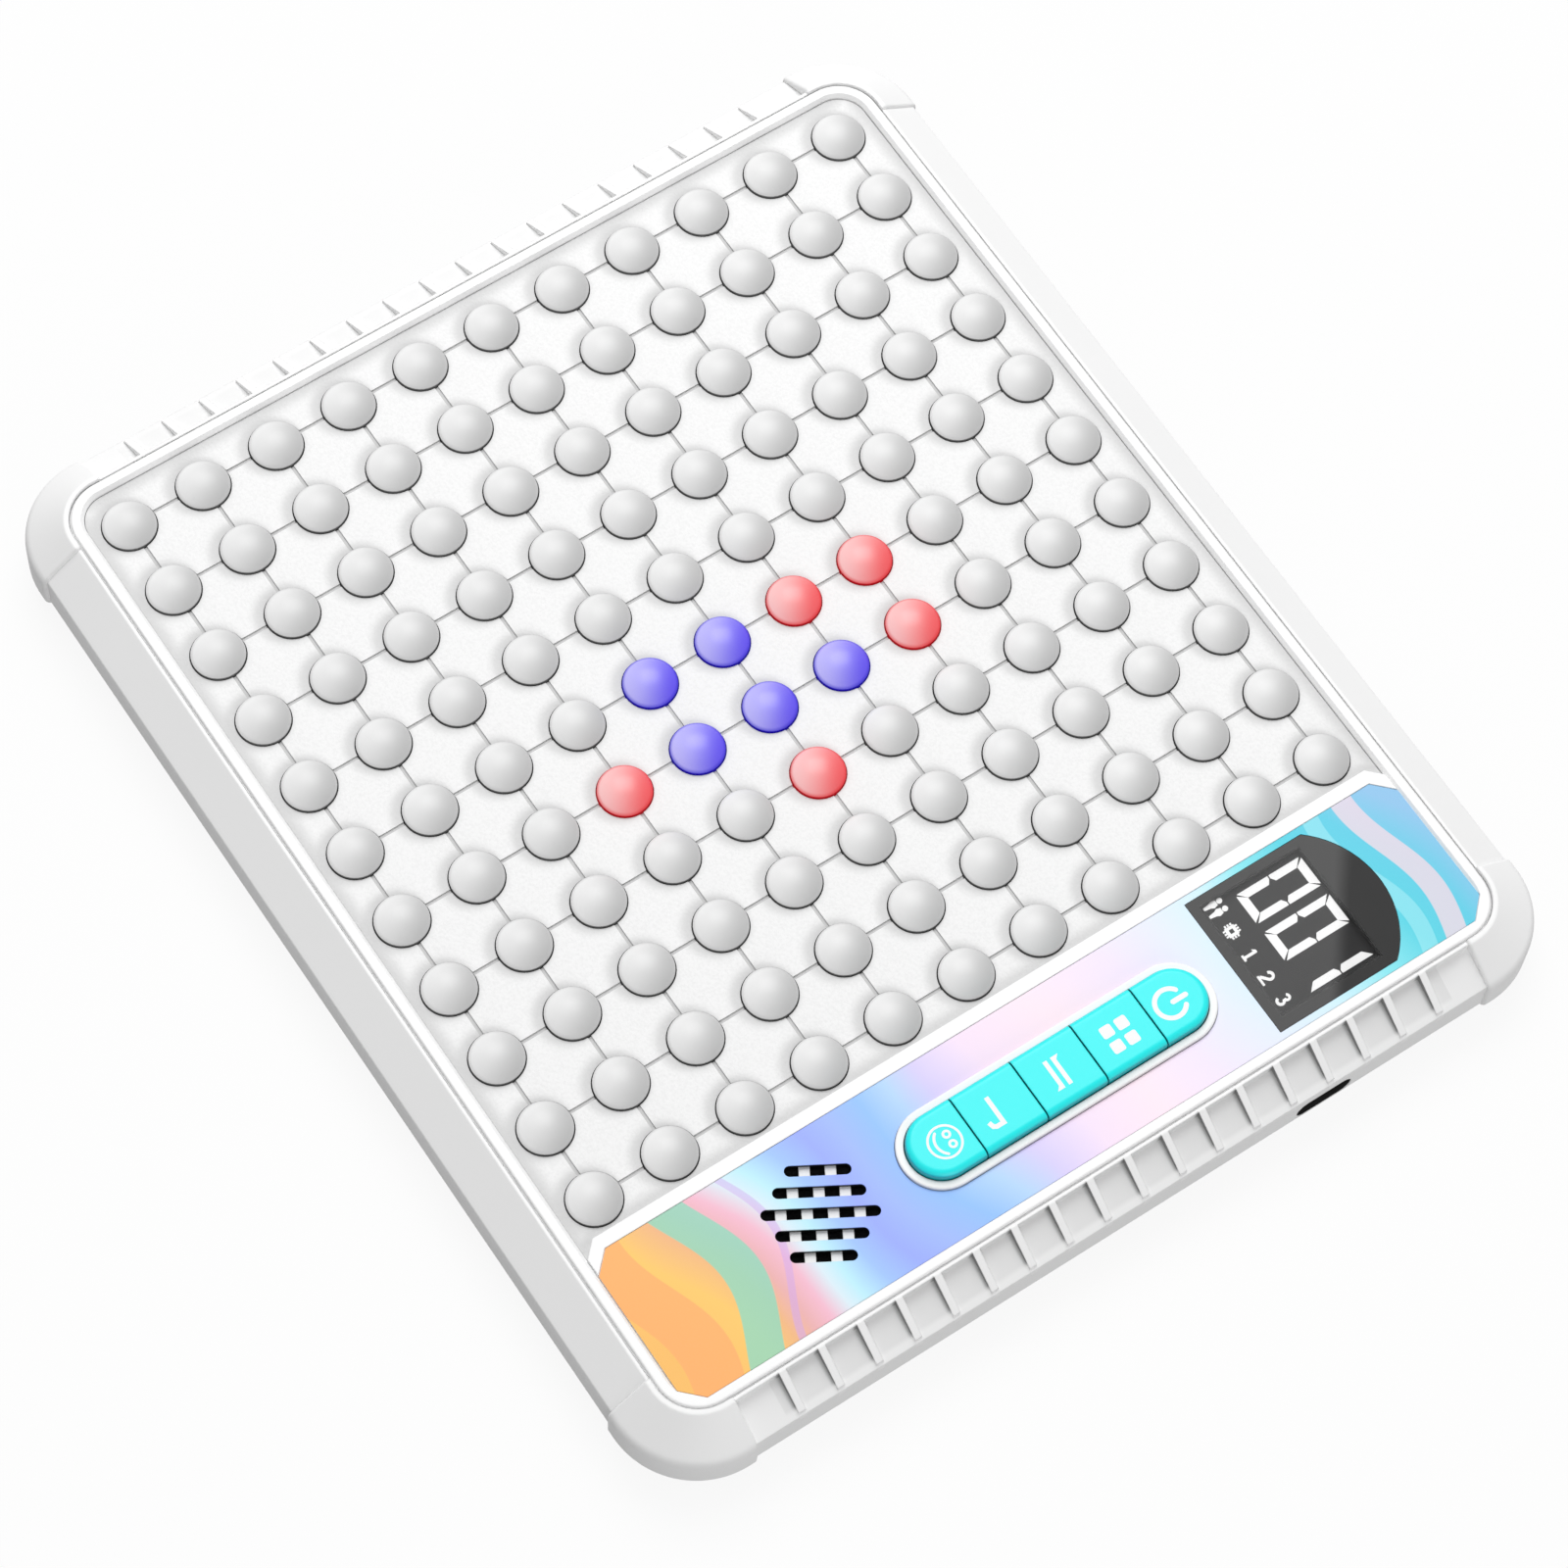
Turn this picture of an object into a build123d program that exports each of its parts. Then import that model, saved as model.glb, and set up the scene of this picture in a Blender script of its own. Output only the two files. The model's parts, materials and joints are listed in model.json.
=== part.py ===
from build123d import *
import math
import os

# Electronic game board, in millimetres: a square field of light-up keys with a
# control strip beside it, in a flat case with ribbed short sides and corner bumpers.
# +X points to the control strip, +Y to the display end of the strip and +Z up.
# The origin is below the middle of the board, on the surface that it stands on.

# Playing field
KEYS_PER_SIDE = 11
KEY_PITCH = 15.0
FIELD_LEFT_MARGIN = 7.6
FIELD_RIGHT_MARGIN = 6.2
FIELD_END_MARGIN = 7.1
GRID_LINE_WIDTH = 0.7
GRID_LINE_DEPTH = 0.3
PANEL_THICKNESS = 1.8
PANEL_RECESS = 1.0

# Key
KEY_RADIUS = 4.85
KEY_SIDE_HEIGHT = 0.45
KEY_DOME_RISE = 1.8
KEY_WALL = 1.0
KEY_FLANGE_WIDTH = 1.0
KEY_FLANGE_THICKNESS = 0.8
KEY_TRAVEL = 1.2
KEY_HOLE_GAP = 0.2
KEY_SHIFT_X = 0.25
KEY_SHIFT_Y = -0.2

# Lit keys of the game in play, as column along X and row along Y
RED_KEYS = ((5, 7), (6, 7), (5, 6), (7, 5), (6, 3))
BLUE_KEYS = ((6, 6), (5, 5), (6, 5), (5, 4), (6, 4))

# Control strip
STRIP_WIDTH = 32.8
STRIP_CHAMFER = 2.7
PLATE_THICKNESS = 2.0
OVERLAY_MARGIN = 2.6
OVERLAY_REACH = 0.4
OVERLAY_CHAMFER = 3.6
OVERLAY_THICKNESS = 0.25
OVERLAY_RECESS = 0.3

# Case
CORNER_RADIUS = 15.5
RIM_WIDTH = 2.3
RIM_BEVEL_WIDTH = 0.6
RIM_BEVEL_DROP = 0.7
RIM_GROOVE_WIDTH = 0.35
RIM_GROOVE_DEPTH = 0.25
LAND_WIDTH = 0.55
LAND_DROP = 0.45
SLOPE_RUN = 6.8
SLOPE_DROP = 4.95
SLOPE_WALL = 3.6
SIDE_HEIGHT = 7.4
BEVEL_RUN = 2.4
BEVEL_HEIGHT = 2.4
FOOT_HEIGHT = 1.0
CASE_WALL = 2.0
FLOOR_THICKNESS = 1.6
SHOULDER_ROUND = 0.5
SEAM_DROP = 2.0
TONGUE_WIDTH = 0.8
TONGUE_HEIGHT = 0.8
LEDGE_THICKNESS = 1.5
LEDGE_BEARING = 0.7
CREST_ROUND = 0.35
KEEL_ROUND = 1.0

# Ribbed grips on the short sides
RIB_COUNT = 18
RIB_PITCH = 7.7
RIB_WIDTH = 1.4
RIB_FOOT_GAP = 0.5
RIB_SHIFT_Y = -0.3
GRIP_TOP_LIP = 0.1
GRIP_TOP_DEPTH = 1.7
GRIP_END_REACH = 0.1

# Corner bumpers
BUMPER_PROUD = 0.8
BUMPER_SINK = 0.5
BUMPER_CREST_RISE = 0.5
BUMPER_CREST_WIDTH = 0.9
BUMPER_LEG_X = 17.5
BUMPER_LEG_Y = 17.1
BUMPER_LIFT = 0.8
BUMPER_ROUND = 2.4
BUMPER_END_ROUND = 0.6

# Display
DISPLAY_WIDTH = 27.9
DISPLAY_SIDE = 24.5
DISPLAY_RISE = 6.6
DISPLAY_BASE_Y = 38.3
WINDOW_THICKNESS = 1.2
WINDOW_SEAT = 0.8
MODULE_WIDTH = 25.5
MODULE_LENGTH = 22.4
MODULE_INSET = 1.3
DIGIT_WIDTH = 6.35
DIGIT_HEIGHT = 13.7
DIGIT_STROKE = 1.25
DIGIT_JOINT = 0.25
DIGIT_DEPTH = 0.2
DIGIT_BASE = 8.9
FIRST_DIGIT = -8.0
SECOND_DIGIT = 0.25
THIRD_DIGIT = 7.25
LAMP_BASE = 2.6
LAMP_HEIGHT = 3.4
LAMP_WIDTH = 3.2
LAMP_SPACING = 5.0
LAMP_SHIFT_X = -0.9
LAMP_COUNT = 5

# Function buttons
BUTTON_WIDTH = 12.1
BUTTON_LENGTH = 12.3
END_BUTTON_LENGTH = 11.45
BUTTON_PARTING = 0.3
BUTTON_GAP = 0.2
BUTTON_HEIGHT = 2.6
BUTTON_TRAVEL = 0.8
BUTTON_FLANGE_WIDTH = 1.0
BUTTON_FLANGE_THICKNESS = 0.8
BUTTON_SKIN = 1.4
BUTTON_STEM_RADIUS = 2.0
BUTTON_ROUND = 1.2
BUTTON_CENTRE_Y = 1.9
BEZEL_WIDTH = 1.4
BEZEL_RISE = 0.7
BEZEL_ROUND = 0.3
BEZEL_FLANGE_WIDTH = 1.0
BEZEL_FLANGE_THICKNESS = 0.6
BUTTON_NAMES = ("face", "undo", "swap", "menu", "power")

# Speaker and its grille
GRILLE_SHIFT_X = -1.2
GRILLE_CENTRE_Y = -45.2
GRILLE_PITCH = 4.4
GRILLE_ANGLE = 60.0
GRILLE_ROWS = (3, 4, 5, 4, 3)
CELL_LENGTH = 2.5
CELL_WIDTH = 2.0
GRILLE_RIB_DROP = 0.7
SPEAKER_RADIUS = 14.0
SPEAKER_FLANGE_THICKNESS = 0.8
SPEAKER_FLANGE_WIDTH = 2.2
SPEAKER_DEPTH = 4.2
SPEAKER_METAL = 0.6
CONE_THICKNESS = 0.4
CONE_DROP = 1.6
CONE_CAP_RADIUS = 4.0
CONE_CAP_RISE = 1.2
CONE_SURROUND = 0.4
MAGNET_RADIUS = 8.0
MAGNET_THICKNESS = 2.0

# Boards and what they carry
BOARD_THICKNESS = 1.6
BOARD_LIFT = 3.0
BOARD_MARGIN = 6.3
BOARD_PARTING = 0.9
CONTROL_BOARD_REACH = 4.3
CONTROL_BOARD_END = 11.6
LED_SIZE = 2.0
LED_HEIGHT = 0.8
SHEET_THICKNESS = 0.6
SHEET_HOLE_RADIUS = 3.4
SHEET_TUBE_RADIUS = 5.6
SHEET_POST_GAP = 0.4
SWITCH_SIZE = 6.0
SWITCH_BODY_HEIGHT = 3.5
SWITCH_CAP_RADIUS = 1.7
CHIP_SIZE = 9.0
CHIP_HEIGHT = 1.2
CHIP_SPACING = 15.0
CHIP_COUNT = 3
CHIP_CENTRE_Y = -66.0
RIBBON_WIDTH = 12.0
RIBBON_THICKNESS = 0.3
RIBBON_CENTRE_Y = -12.0
SOCKET_WIDTH = 15.0
SOCKET_DEPTH = 3.4
SOCKET_HEIGHT = 1.4
SOCKET_SETBACK = 1.2
BATTERY_LENGTH = 50.0
BATTERY_WIDTH = 34.0
BATTERY_THICKNESS = 2.4
BATTERY_ROUND = 0.8
BATTERY_PAD_THICKNESS = 0.3
BATTERY_PAD_MARGIN = 4.0
BATTERY_SHIFT_X = -30.0
BATTERY_CENTRE_Y = -30.0
BATTERY_RIB_THICKNESS = 1.2
BATTERY_RIB_HEIGHT = 1.8
BATTERY_RIB_LENGTH = 12.0
BATTERY_RIB_GAP = 0.3

# Charging port on the control side
PORT_CENTRE_Y = 41.0
PORT_SLOT_LENGTH = 11.4
PORT_SLOT_HEIGHT = 4.4
PORT_WIDTH = 8.94
PORT_HEIGHT = 3.2
PORT_LENGTH = 7.3
PORT_METAL = 0.3
PORT_BACK = 1.2
PORT_WALL_GAP = 0.2
PORT_NOTCH_GAP = 0.15
PORT_EAR_WIDTH = 1.2
PORT_EAR_LENGTH = 3.0
TONGUE_PLATE_WIDTH = 6.7
TONGUE_PLATE_HEIGHT = 0.7
TONGUE_PLATE_SETBACK = 0.7

# Posts, screws and feet
POST_RADIUS = 3.0
POST_CELLS_SHARES = (-4.5, 0.5, 4.5)
POST_EDGE = 4.3
POST_END = 8.6
PILOT_DEPTH = 5.6
BOSS_RADIUS = 3.6
SCREW_RADIUS = 1.1
SCREW_FREE_GAP = 0.15
SCREW_THREAD_GAP = 0.05
SCREW_HEAD_RADIUS = 2.2
SCREW_HEAD_HEIGHT = 1.3
SCREW_HEAD_GAP = 0.3
SCREW_SINK = 0.5
SCREW_TIP_GAP = 0.6
SCREW_SLOT_WIDTH = 0.7
SCREW_SLOT_LENGTH = 2.8
SCREW_SLOT_DEPTH = 0.6
FOOT_RADIUS = 6.0
FOOT_SINK = 0.6
FOOT_EDGE = 14.0
FOOT_END = 33.0
FOOT_ROUND = 0.4

# Shared clearances
FIT = 0.1
CARRY_GAP = 0.3
STOP_GAP = 0.1
OVERRUN = 1.0
LEVEL_TOLERANCE = 0.001

# Insets from the widest outline of the case
LAND_INSET = SLOPE_RUN
GROOVE_INSET = LAND_INSET + LAND_WIDTH
RIM_INSET = GROOVE_INSET + RIM_GROOVE_WIDTH
RIM_FOOT_INSET = GROOVE_INSET + FIT
FIELD_INSET = RIM_INSET + RIM_WIDTH
PANEL_INSET = FIELD_INSET + FIT
LEDGE_INSET = PANEL_INSET + LEDGE_BEARING

# Plan sizes that follow from the field and the strip
FIELD_SPAN = (KEYS_PER_SIDE - 1) * KEY_PITCH
CASE_LENGTH = FIELD_SPAN + FIELD_LEFT_MARGIN + FIELD_RIGHT_MARGIN + STRIP_WIDTH + 2 * FIELD_INSET
CASE_WIDTH = FIELD_SPAN + 2 * FIELD_END_MARGIN + 2 * FIELD_INSET
INNER_HALF_LENGTH = CASE_LENGTH / 2 - FIELD_INSET
INNER_HALF_WIDTH = CASE_WIDTH / 2 - FIELD_INSET
FIELD_CENTRE_X = FIELD_LEFT_MARGIN + FIELD_SPAN / 2 - INNER_HALF_LENGTH
PLATE_LEFT = FIELD_CENTRE_X + FIELD_SPAN / 2 + FIELD_RIGHT_MARGIN
OVERLAY_LEFT = PLATE_LEFT + OVERLAY_MARGIN
OVERLAY_RIGHT = INNER_HALF_LENGTH + OVERLAY_REACH
STRIP_CENTRE_X = (OVERLAY_LEFT + OVERLAY_RIGHT) / 2

# Heights that follow, from the floor up
CASE_BOTTOM = FOOT_HEIGHT
BEVEL_TOP = CASE_BOTTOM + BEVEL_HEIGHT
SHOULDER_Z = BEVEL_TOP + SIDE_HEIGHT
SEAM_Z = SHOULDER_Z - SEAM_DROP
LAND_Z = SHOULDER_Z + SLOPE_DROP
RIM_TOP = LAND_Z + LAND_DROP
GROOVE_FLOOR = LAND_Z - RIM_GROOVE_DEPTH
PANEL_TOP = RIM_TOP - PANEL_RECESS
PANEL_BOTTOM = PANEL_TOP - PANEL_THICKNESS
PLATE_BOTTOM = RIM_TOP - PLATE_THICKNESS
LEDGE_BOTTOM = PANEL_BOTTOM - LEDGE_THICKNESS
FLOOR_TOP = CASE_BOTTOM + FLOOR_THICKNESS
BOARD_BOTTOM = FLOOR_TOP + BOARD_LIFT
BOARD_TOP = BOARD_BOTTOM + BOARD_THICKNESS
OVERLAY_BOTTOM = RIM_TOP - OVERLAY_RECESS
OVERLAY_TOP = OVERLAY_BOTTOM + OVERLAY_THICKNESS
KEY_FLANGE_TOP = PANEL_BOTTOM - CARRY_GAP
KEY_BOTTOM = KEY_FLANGE_TOP - KEY_FLANGE_THICKNESS
SHEET_TUBE_TOP = KEY_BOTTOM - KEY_TRAVEL - STOP_GAP
BEZEL_BOTTOM = PLATE_BOTTOM - BEZEL_FLANGE_THICKNESS
BUTTON_FLANGE_TOP = BEZEL_BOTTOM - CARRY_GAP
BUTTON_BOTTOM = BUTTON_FLANGE_TOP - BUTTON_FLANGE_THICKNESS
BUTTON_TOP = OVERLAY_TOP + BUTTON_HEIGHT
SWITCH_TOP = BUTTON_BOTTOM - BUTTON_TRAVEL - STOP_GAP
WINDOW_BOTTOM = RIM_TOP - WINDOW_THICKNESS
DIGIT_TOP = WINDOW_BOTTOM - CARRY_GAP
MODULE_TOP = DIGIT_TOP - DIGIT_DEPTH
PORT_CENTRE_Z = BOARD_TOP + PORT_METAL - PORT_HEIGHT / 2


def line_crossing(column, row):
    """Crossing of two grid lines, with column 0 at the left and row 0 at the near end."""
    middle = (KEYS_PER_SIDE - 1) / 2
    return (FIELD_CENTRE_X + (column - middle) * KEY_PITCH, (row - middle) * KEY_PITCH)


def key_place(column, row):
    """Centre of a key, which sits a little beside its crossing of the grid lines."""
    x, y = line_crossing(column, row)
    return (x + KEY_SHIFT_X, y + KEY_SHIFT_Y)


def all_key_places():
    """Centres of all keys."""
    return [key_place(c, r) for c in range(KEYS_PER_SIDE) for r in range(KEYS_PER_SIDE)]


def field_post_places():
    """Screw posts of the field, in the middle of the cells between four keys."""
    steps = [share * KEY_PITCH for share in POST_CELLS_SHARES]
    return [(FIELD_CENTRE_X + x, y) for x in steps for y in steps]


def strip_post_places():
    """Screw posts of the control strip, near its four corners."""
    left = OVERLAY_LEFT + POST_EDGE
    right = OVERLAY_RIGHT - POST_EDGE
    end = INNER_HALF_WIDTH - POST_END
    return [(x, y) for x in (left, right) for y in (-end, end)]


def screw_places():
    """Every case screw, from below."""
    return field_post_places() + strip_post_places()


def outline(inset, height):
    """Rounded rectangle inside the widest outline of the case, at a height."""
    length = CASE_LENGTH - 2 * inset
    width = CASE_WIDTH - 2 * inset
    return Pos(0, 0, height) * RectangleRounded(length, width, CORNER_RADIUS - inset)


def prism(inset, low, high):
    """Straight-sided slab between two heights."""
    return extrude(outline(inset, low), amount=high - low)


def cone_up(inset_low, inset_high, low, high):
    """Slab whose sides lean inwards on the way up."""
    lean = math.degrees(math.atan2(inset_high - inset_low, high - low))
    return extrude(outline(inset_low, low), amount=high - low, taper=lean)


def cone_down(inset_high, inset_low, high, low):
    """Slab whose sides lean inwards on the way down."""
    upward = cone_up(inset_high, inset_low, high, 2 * high - low)
    return mirror(upward, about=Plane.XY.offset(high))


def block(x_low, x_high, y_low, y_high, z_low, z_high):
    """Box between its six faces."""
    size = (x_high - x_low, y_high - y_low, z_high - z_low)
    return Pos((x_low + x_high) / 2, (y_low + y_high) / 2, (z_low + z_high) / 2) * Box(*size)


def rod(place, radius, low, high):
    """Upright cylinder at a place in plan."""
    return Pos(place[0], place[1], (low + high) / 2) * Cylinder(radius, high - low)


def rods(places, radius, low, high):
    """Upright cylinders at several places, as a list."""
    return [rod(place, radius, low, high) for place in places]


def level_edges(shape, height):
    """Edges that lie wholly at one height."""
    def lies_level(edge):
        box = edge.bounding_box()
        return max(abs(box.min.Z - height), abs(box.max.Z - height)) < LEVEL_TOLERANCE
    return shape.edges().filter_by(lies_level)


def slope_inset(height):
    """Inset of the sloped band's surface at a height."""
    return SLOPE_RUN * (height - SHOULDER_Z) / SLOPE_DROP


def bevel_inset(height):
    """Inset of the lower bevel's surface at a height."""
    return BEVEL_RUN * (BEVEL_TOP - height) / BEVEL_HEIGHT


def upper_hull(low, grow, crest_inset, crest):
    """Side wall above a height and the sloped band, as a filled solid."""
    hull = prism(-grow, low, SHOULDER_Z) + cone_up(-grow, crest_inset, SHOULDER_Z, crest)
    return hull


def lower_hull(high, grow):
    """Side wall below a height and the lower bevel, as a filled solid."""
    bevel = cone_down(-grow, BEVEL_RUN - grow, BEVEL_TOP, CASE_BOTTOM)
    return prism(-grow, BEVEL_TOP, high) + bevel


def bumper_shell():
    """Ring of the bumpers' section, all the way round the case."""
    crest_inset = GROOVE_INSET - BUMPER_CREST_WIDTH
    outer = upper_hull(BEVEL_TOP, BUMPER_PROUD, crest_inset, LAND_Z + BUMPER_CREST_RISE)
    outer += lower_hull(SHOULDER_Z, BUMPER_PROUD)
    outer = fillet(level_edges(outer, SHOULDER_Z), BUMPER_ROUND)
    outer = fillet(level_edges(outer, BEVEL_TOP), BUMPER_ROUND)
    outer = fillet(level_edges(outer, LAND_Z + BUMPER_CREST_RISE), CREST_ROUND)
    core = upper_hull(BEVEL_TOP, -BUMPER_SINK, LAND_INSET + BUMPER_SINK, LAND_Z - BUMPER_SINK)
    core += lower_hull(SHOULDER_Z, -BUMPER_SINK)
    core += prism(GROOVE_INSET, SHOULDER_Z, RIM_TOP + OVERRUN)
    toe = prism(-BUMPER_PROUD - OVERRUN, CASE_BOTTOM - OVERRUN, CASE_BOTTOM + BUMPER_LIFT)
    return outer - core - toe


def bumper_end_edges(bumper, end_x, end_y):
    """Outer edges of a bumper's two end faces."""
    def lies_outside(edge):
        box = edge.bounding_box()
        place = edge.center()
        at_x = max(abs(box.min.X - end_x), abs(box.max.X - end_x)) < LEVEL_TOLERANCE
        at_y = max(abs(box.min.Y - end_y), abs(box.max.Y - end_y)) < LEVEL_TOLERANCE
        if at_x:
            inset = CASE_WIDTH / 2 - abs(place.Y)
        else:
            inset = CASE_LENGTH / 2 - abs(place.X)
        if place.Z > SHOULDER_Z:
            proud = slope_inset(place.Z) - inset
        else:
            proud = -inset
        return (at_x or at_y) and proud > BUMPER_PROUD / 2 and box.max.Z > BEVEL_TOP
    return bumper.edges().filter_by(lies_outside)


def corner_bumper(shell, side_x, side_y):
    """Bumper over one corner of the case."""
    x_near = CASE_LENGTH / 2 - BUMPER_LEG_X
    y_near = CASE_WIDTH / 2 - BUMPER_LEG_Y
    x_far = CASE_LENGTH / 2 + BUMPER_PROUD + OVERRUN
    y_far = CASE_WIDTH / 2 + BUMPER_PROUD + OVERRUN
    corner = block(x_near, x_far, y_near, y_far, 0, RIM_TOP + OVERRUN)
    if side_x < 0:
        corner = mirror(corner, about=Plane.YZ)
    if side_y < 0:
        corner = mirror(corner, about=Plane.XZ)
    bumper = shell & corner
    return fillet(bumper_end_edges(bumper, side_x * x_near, side_y * y_near), BUMPER_END_ROUND)


def grip_pocket():
    """Section of the hollows between the ribs, as a face in the XZ plane."""
    slope_length = math.hypot(SLOPE_RUN, SLOPE_DROP)
    along = Vector(-SLOPE_RUN, 0, SLOPE_DROP) / slope_length
    foot = Vector(CASE_LENGTH / 2, 0, SHOULDER_Z)
    start = foot - along * 2 * OVERRUN
    end = foot + along * (slope_length - GRIP_TOP_LIP)
    corners = (
        start,
        start + Vector(0, 0, OVERRUN),
        end + Vector(0, 0, OVERRUN),
        end - Vector(0, 0, GRIP_TOP_DEPTH),
    )
    return make_face(Polyline(*corners, close=True))


def grip_pockets():
    """Hollows between the ribs of both short sides, open at their feet."""
    face = grip_pocket()
    ends = CASE_WIDTH / 2 - BUMPER_LEG_Y + GRIP_END_REACH
    reach = extrude(Pos(0, ends, 0) * face, amount=2 * ends, dir=(0, -1, 0))
    slope_top = CASE_LENGTH / 2 - GROOVE_INSET
    rib_foot = CASE_LENGTH / 2 - RIB_FOOT_GAP
    for index in range(RIB_COUNT):
        middle = (index - (RIB_COUNT - 1) / 2) * RIB_PITCH + RIB_SHIFT_Y
        rib = (middle - RIB_WIDTH / 2, middle + RIB_WIDTH / 2)
        reach -= block(slope_top, rib_foot, *rib, SEAM_Z - OVERRUN, RIM_TOP + OVERRUN)
    return reach + mirror(reach, about=Plane.YZ)


def port_slot():
    """Space of the charging port's slot through the side wall."""
    face = SlotOverall(PORT_SLOT_LENGTH, PORT_SLOT_HEIGHT)
    start = CASE_LENGTH / 2 - CASE_WALL - OVERRUN
    plane = Plane(origin=(start, PORT_CENTRE_Y, PORT_CENTRE_Z), x_dir=(0, 1, 0), z_dir=(1, 0, 0))
    return extrude(plane * face, amount=CASE_WALL + 2 * OVERRUN)


def outer_case(bumpers):
    """Sloped band round the board, with the ledge that carries the field and the rim."""
    shape = upper_hull(SEAM_Z, 0, LAND_INSET, LAND_Z)
    shape = fillet(level_edges(shape, SHOULDER_Z), SHOULDER_ROUND)
    shape = fillet(level_edges(shape, LAND_Z), CREST_ROUND)
    shape -= grip_pockets()
    tongue_room = CASE_WALL - TONGUE_WIDTH - FIT
    shape -= prism(tongue_room, SEAM_Z - OVERRUN, SEAM_Z + TONGUE_HEIGHT + FIT)
    wall_top = SHOULDER_Z - (SLOPE_WALL - CASE_WALL) * SLOPE_DROP / SLOPE_RUN
    shape -= prism(CASE_WALL, SEAM_Z - OVERRUN, wall_top)
    under_ledge = SLOPE_WALL + slope_inset(LEDGE_BOTTOM)
    shape -= cone_up(CASE_WALL, under_ledge, wall_top, LEDGE_BOTTOM)
    shape -= prism(LEDGE_INSET, SEAM_Z, PANEL_BOTTOM + OVERRUN)
    shape -= prism(GROOVE_INSET, PANEL_BOTTOM, LAND_Z + OVERRUN)
    for bumper in bumpers:
        shape -= bumper
    return shape - port_slot()


def battery_place():
    """Centre of the battery in plan."""
    return (FIELD_CENTRE_X + BATTERY_SHIFT_X, BATTERY_CENTRE_Y)


def battery_ribs():
    """Low ribs on the case floor that keep the battery in place."""
    x, y = battery_place()
    side_x = BATTERY_LENGTH / 2 + BATTERY_RIB_GAP
    side_y = BATTERY_WIDTH / 2 + BATTERY_RIB_GAP
    half = BATTERY_RIB_LENGTH / 2
    top = FLOOR_TOP + BATTERY_RIB_HEIGHT
    low = FLOOR_TOP - FLOOR_THICKNESS / 2
    thick = BATTERY_RIB_THICKNESS
    return [
        block(x + side_x, x + side_x + thick, y - half, y + half, low, top),
        block(x - side_x - thick, x - side_x, y - half, y + half, low, top),
        block(x - half, x + half, y + side_y, y + side_y + thick, low, top),
        block(x - half, x + half, y - side_y - thick, y - side_y, low, top),
    ]


def foot_places():
    """Centres of the four feet."""
    x = CASE_LENGTH / 2 - FOOT_EDGE
    y = CASE_WIDTH / 2 - FOOT_END
    return [(-x, -y), (x, -y), (-x, y), (x, y)]


def bottom_case(bumpers):
    """Floor and side walls, with bosses for the screws and sockets for the feet."""
    shape = lower_hull(SEAM_Z, 0)
    shape = fillet(level_edges(shape, BEVEL_TOP), KEEL_ROUND)
    shape = fillet(level_edges(shape, CASE_BOTTOM), KEEL_ROUND)
    shape += prism(CASE_WALL - TONGUE_WIDTH, SEAM_Z, SEAM_Z + TONGUE_HEIGHT)
    shape -= prism(CASE_WALL, BEVEL_TOP, SEAM_Z + TONGUE_HEIGHT + OVERRUN)
    shape -= cone_down(CASE_WALL, CASE_WALL + bevel_inset(FLOOR_TOP), BEVEL_TOP, FLOOR_TOP)
    shape += rods(screw_places(), BOSS_RADIUS, FLOOR_TOP - FLOOR_THICKNESS / 2, BOARD_BOTTOM)
    shape += battery_ribs()
    head_room = CASE_BOTTOM + SCREW_SINK + SCREW_HEAD_HEIGHT
    shape -= rods(screw_places(), SCREW_HEAD_RADIUS + SCREW_HEAD_GAP, 0, head_room)
    shape -= rods(screw_places(), SCREW_RADIUS + SCREW_FREE_GAP, 0, BOARD_TOP)
    shape -= rods(foot_places(), FOOT_RADIUS + FIT, 0, CASE_BOTTOM + FOOT_SINK)
    for bumper in bumpers:
        shape -= bumper
    return shape - port_slot()


def feet():
    """Four round rubber feet, sunk into the case floor."""
    one = Cylinder(FOOT_RADIUS, CASE_BOTTOM + FOOT_SINK, align=(Align.CENTER, Align.CENTER, Align.MIN))
    one = fillet(level_edges(one, 0), FOOT_ROUND)
    return Compound(children=[Pos(x, y, 0) * one for x, y in foot_places()])


def case_screws():
    """Slotted screws that draw the field, the strip and the case floor together."""
    head_low = CASE_BOTTOM + SCREW_SINK
    head_high = head_low + SCREW_HEAD_HEIGHT
    tip = BOARD_TOP + PILOT_DEPTH - SCREW_TIP_GAP
    one = rod((0, 0), SCREW_HEAD_RADIUS, head_low, head_high)
    one += rod((0, 0), SCREW_RADIUS, head_high, tip)
    slot = Pos(0, 0, head_low) * Box(SCREW_SLOT_LENGTH, SCREW_SLOT_WIDTH, 2 * SCREW_SLOT_DEPTH)
    one -= slot
    return Compound(children=[Pos(x, y, 0) * one for x, y in screw_places()])


def strip_face(left, right, half_width, chamfer):
    """Outline in plan of a strip with four chamfered corners."""
    corners = (
        (left + chamfer, -half_width),
        (right - chamfer, -half_width),
        (right, chamfer - half_width),
        (right, half_width - chamfer),
        (right - chamfer, half_width),
        (left + chamfer, half_width),
        (left, half_width - chamfer),
        (left, chamfer - half_width),
    )
    return make_face(Polyline(*corners, close=True))


def overlay_solid(grow, low, high):
    """Outline of the printed overlay as a solid."""
    half_width = INNER_HALF_WIDTH + grow
    face = strip_face(OVERLAY_LEFT - grow, OVERLAY_RIGHT + grow, half_width, OVERLAY_CHAMFER)
    return extrude(Pos(0, 0, low) * face, amount=high - low)


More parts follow.
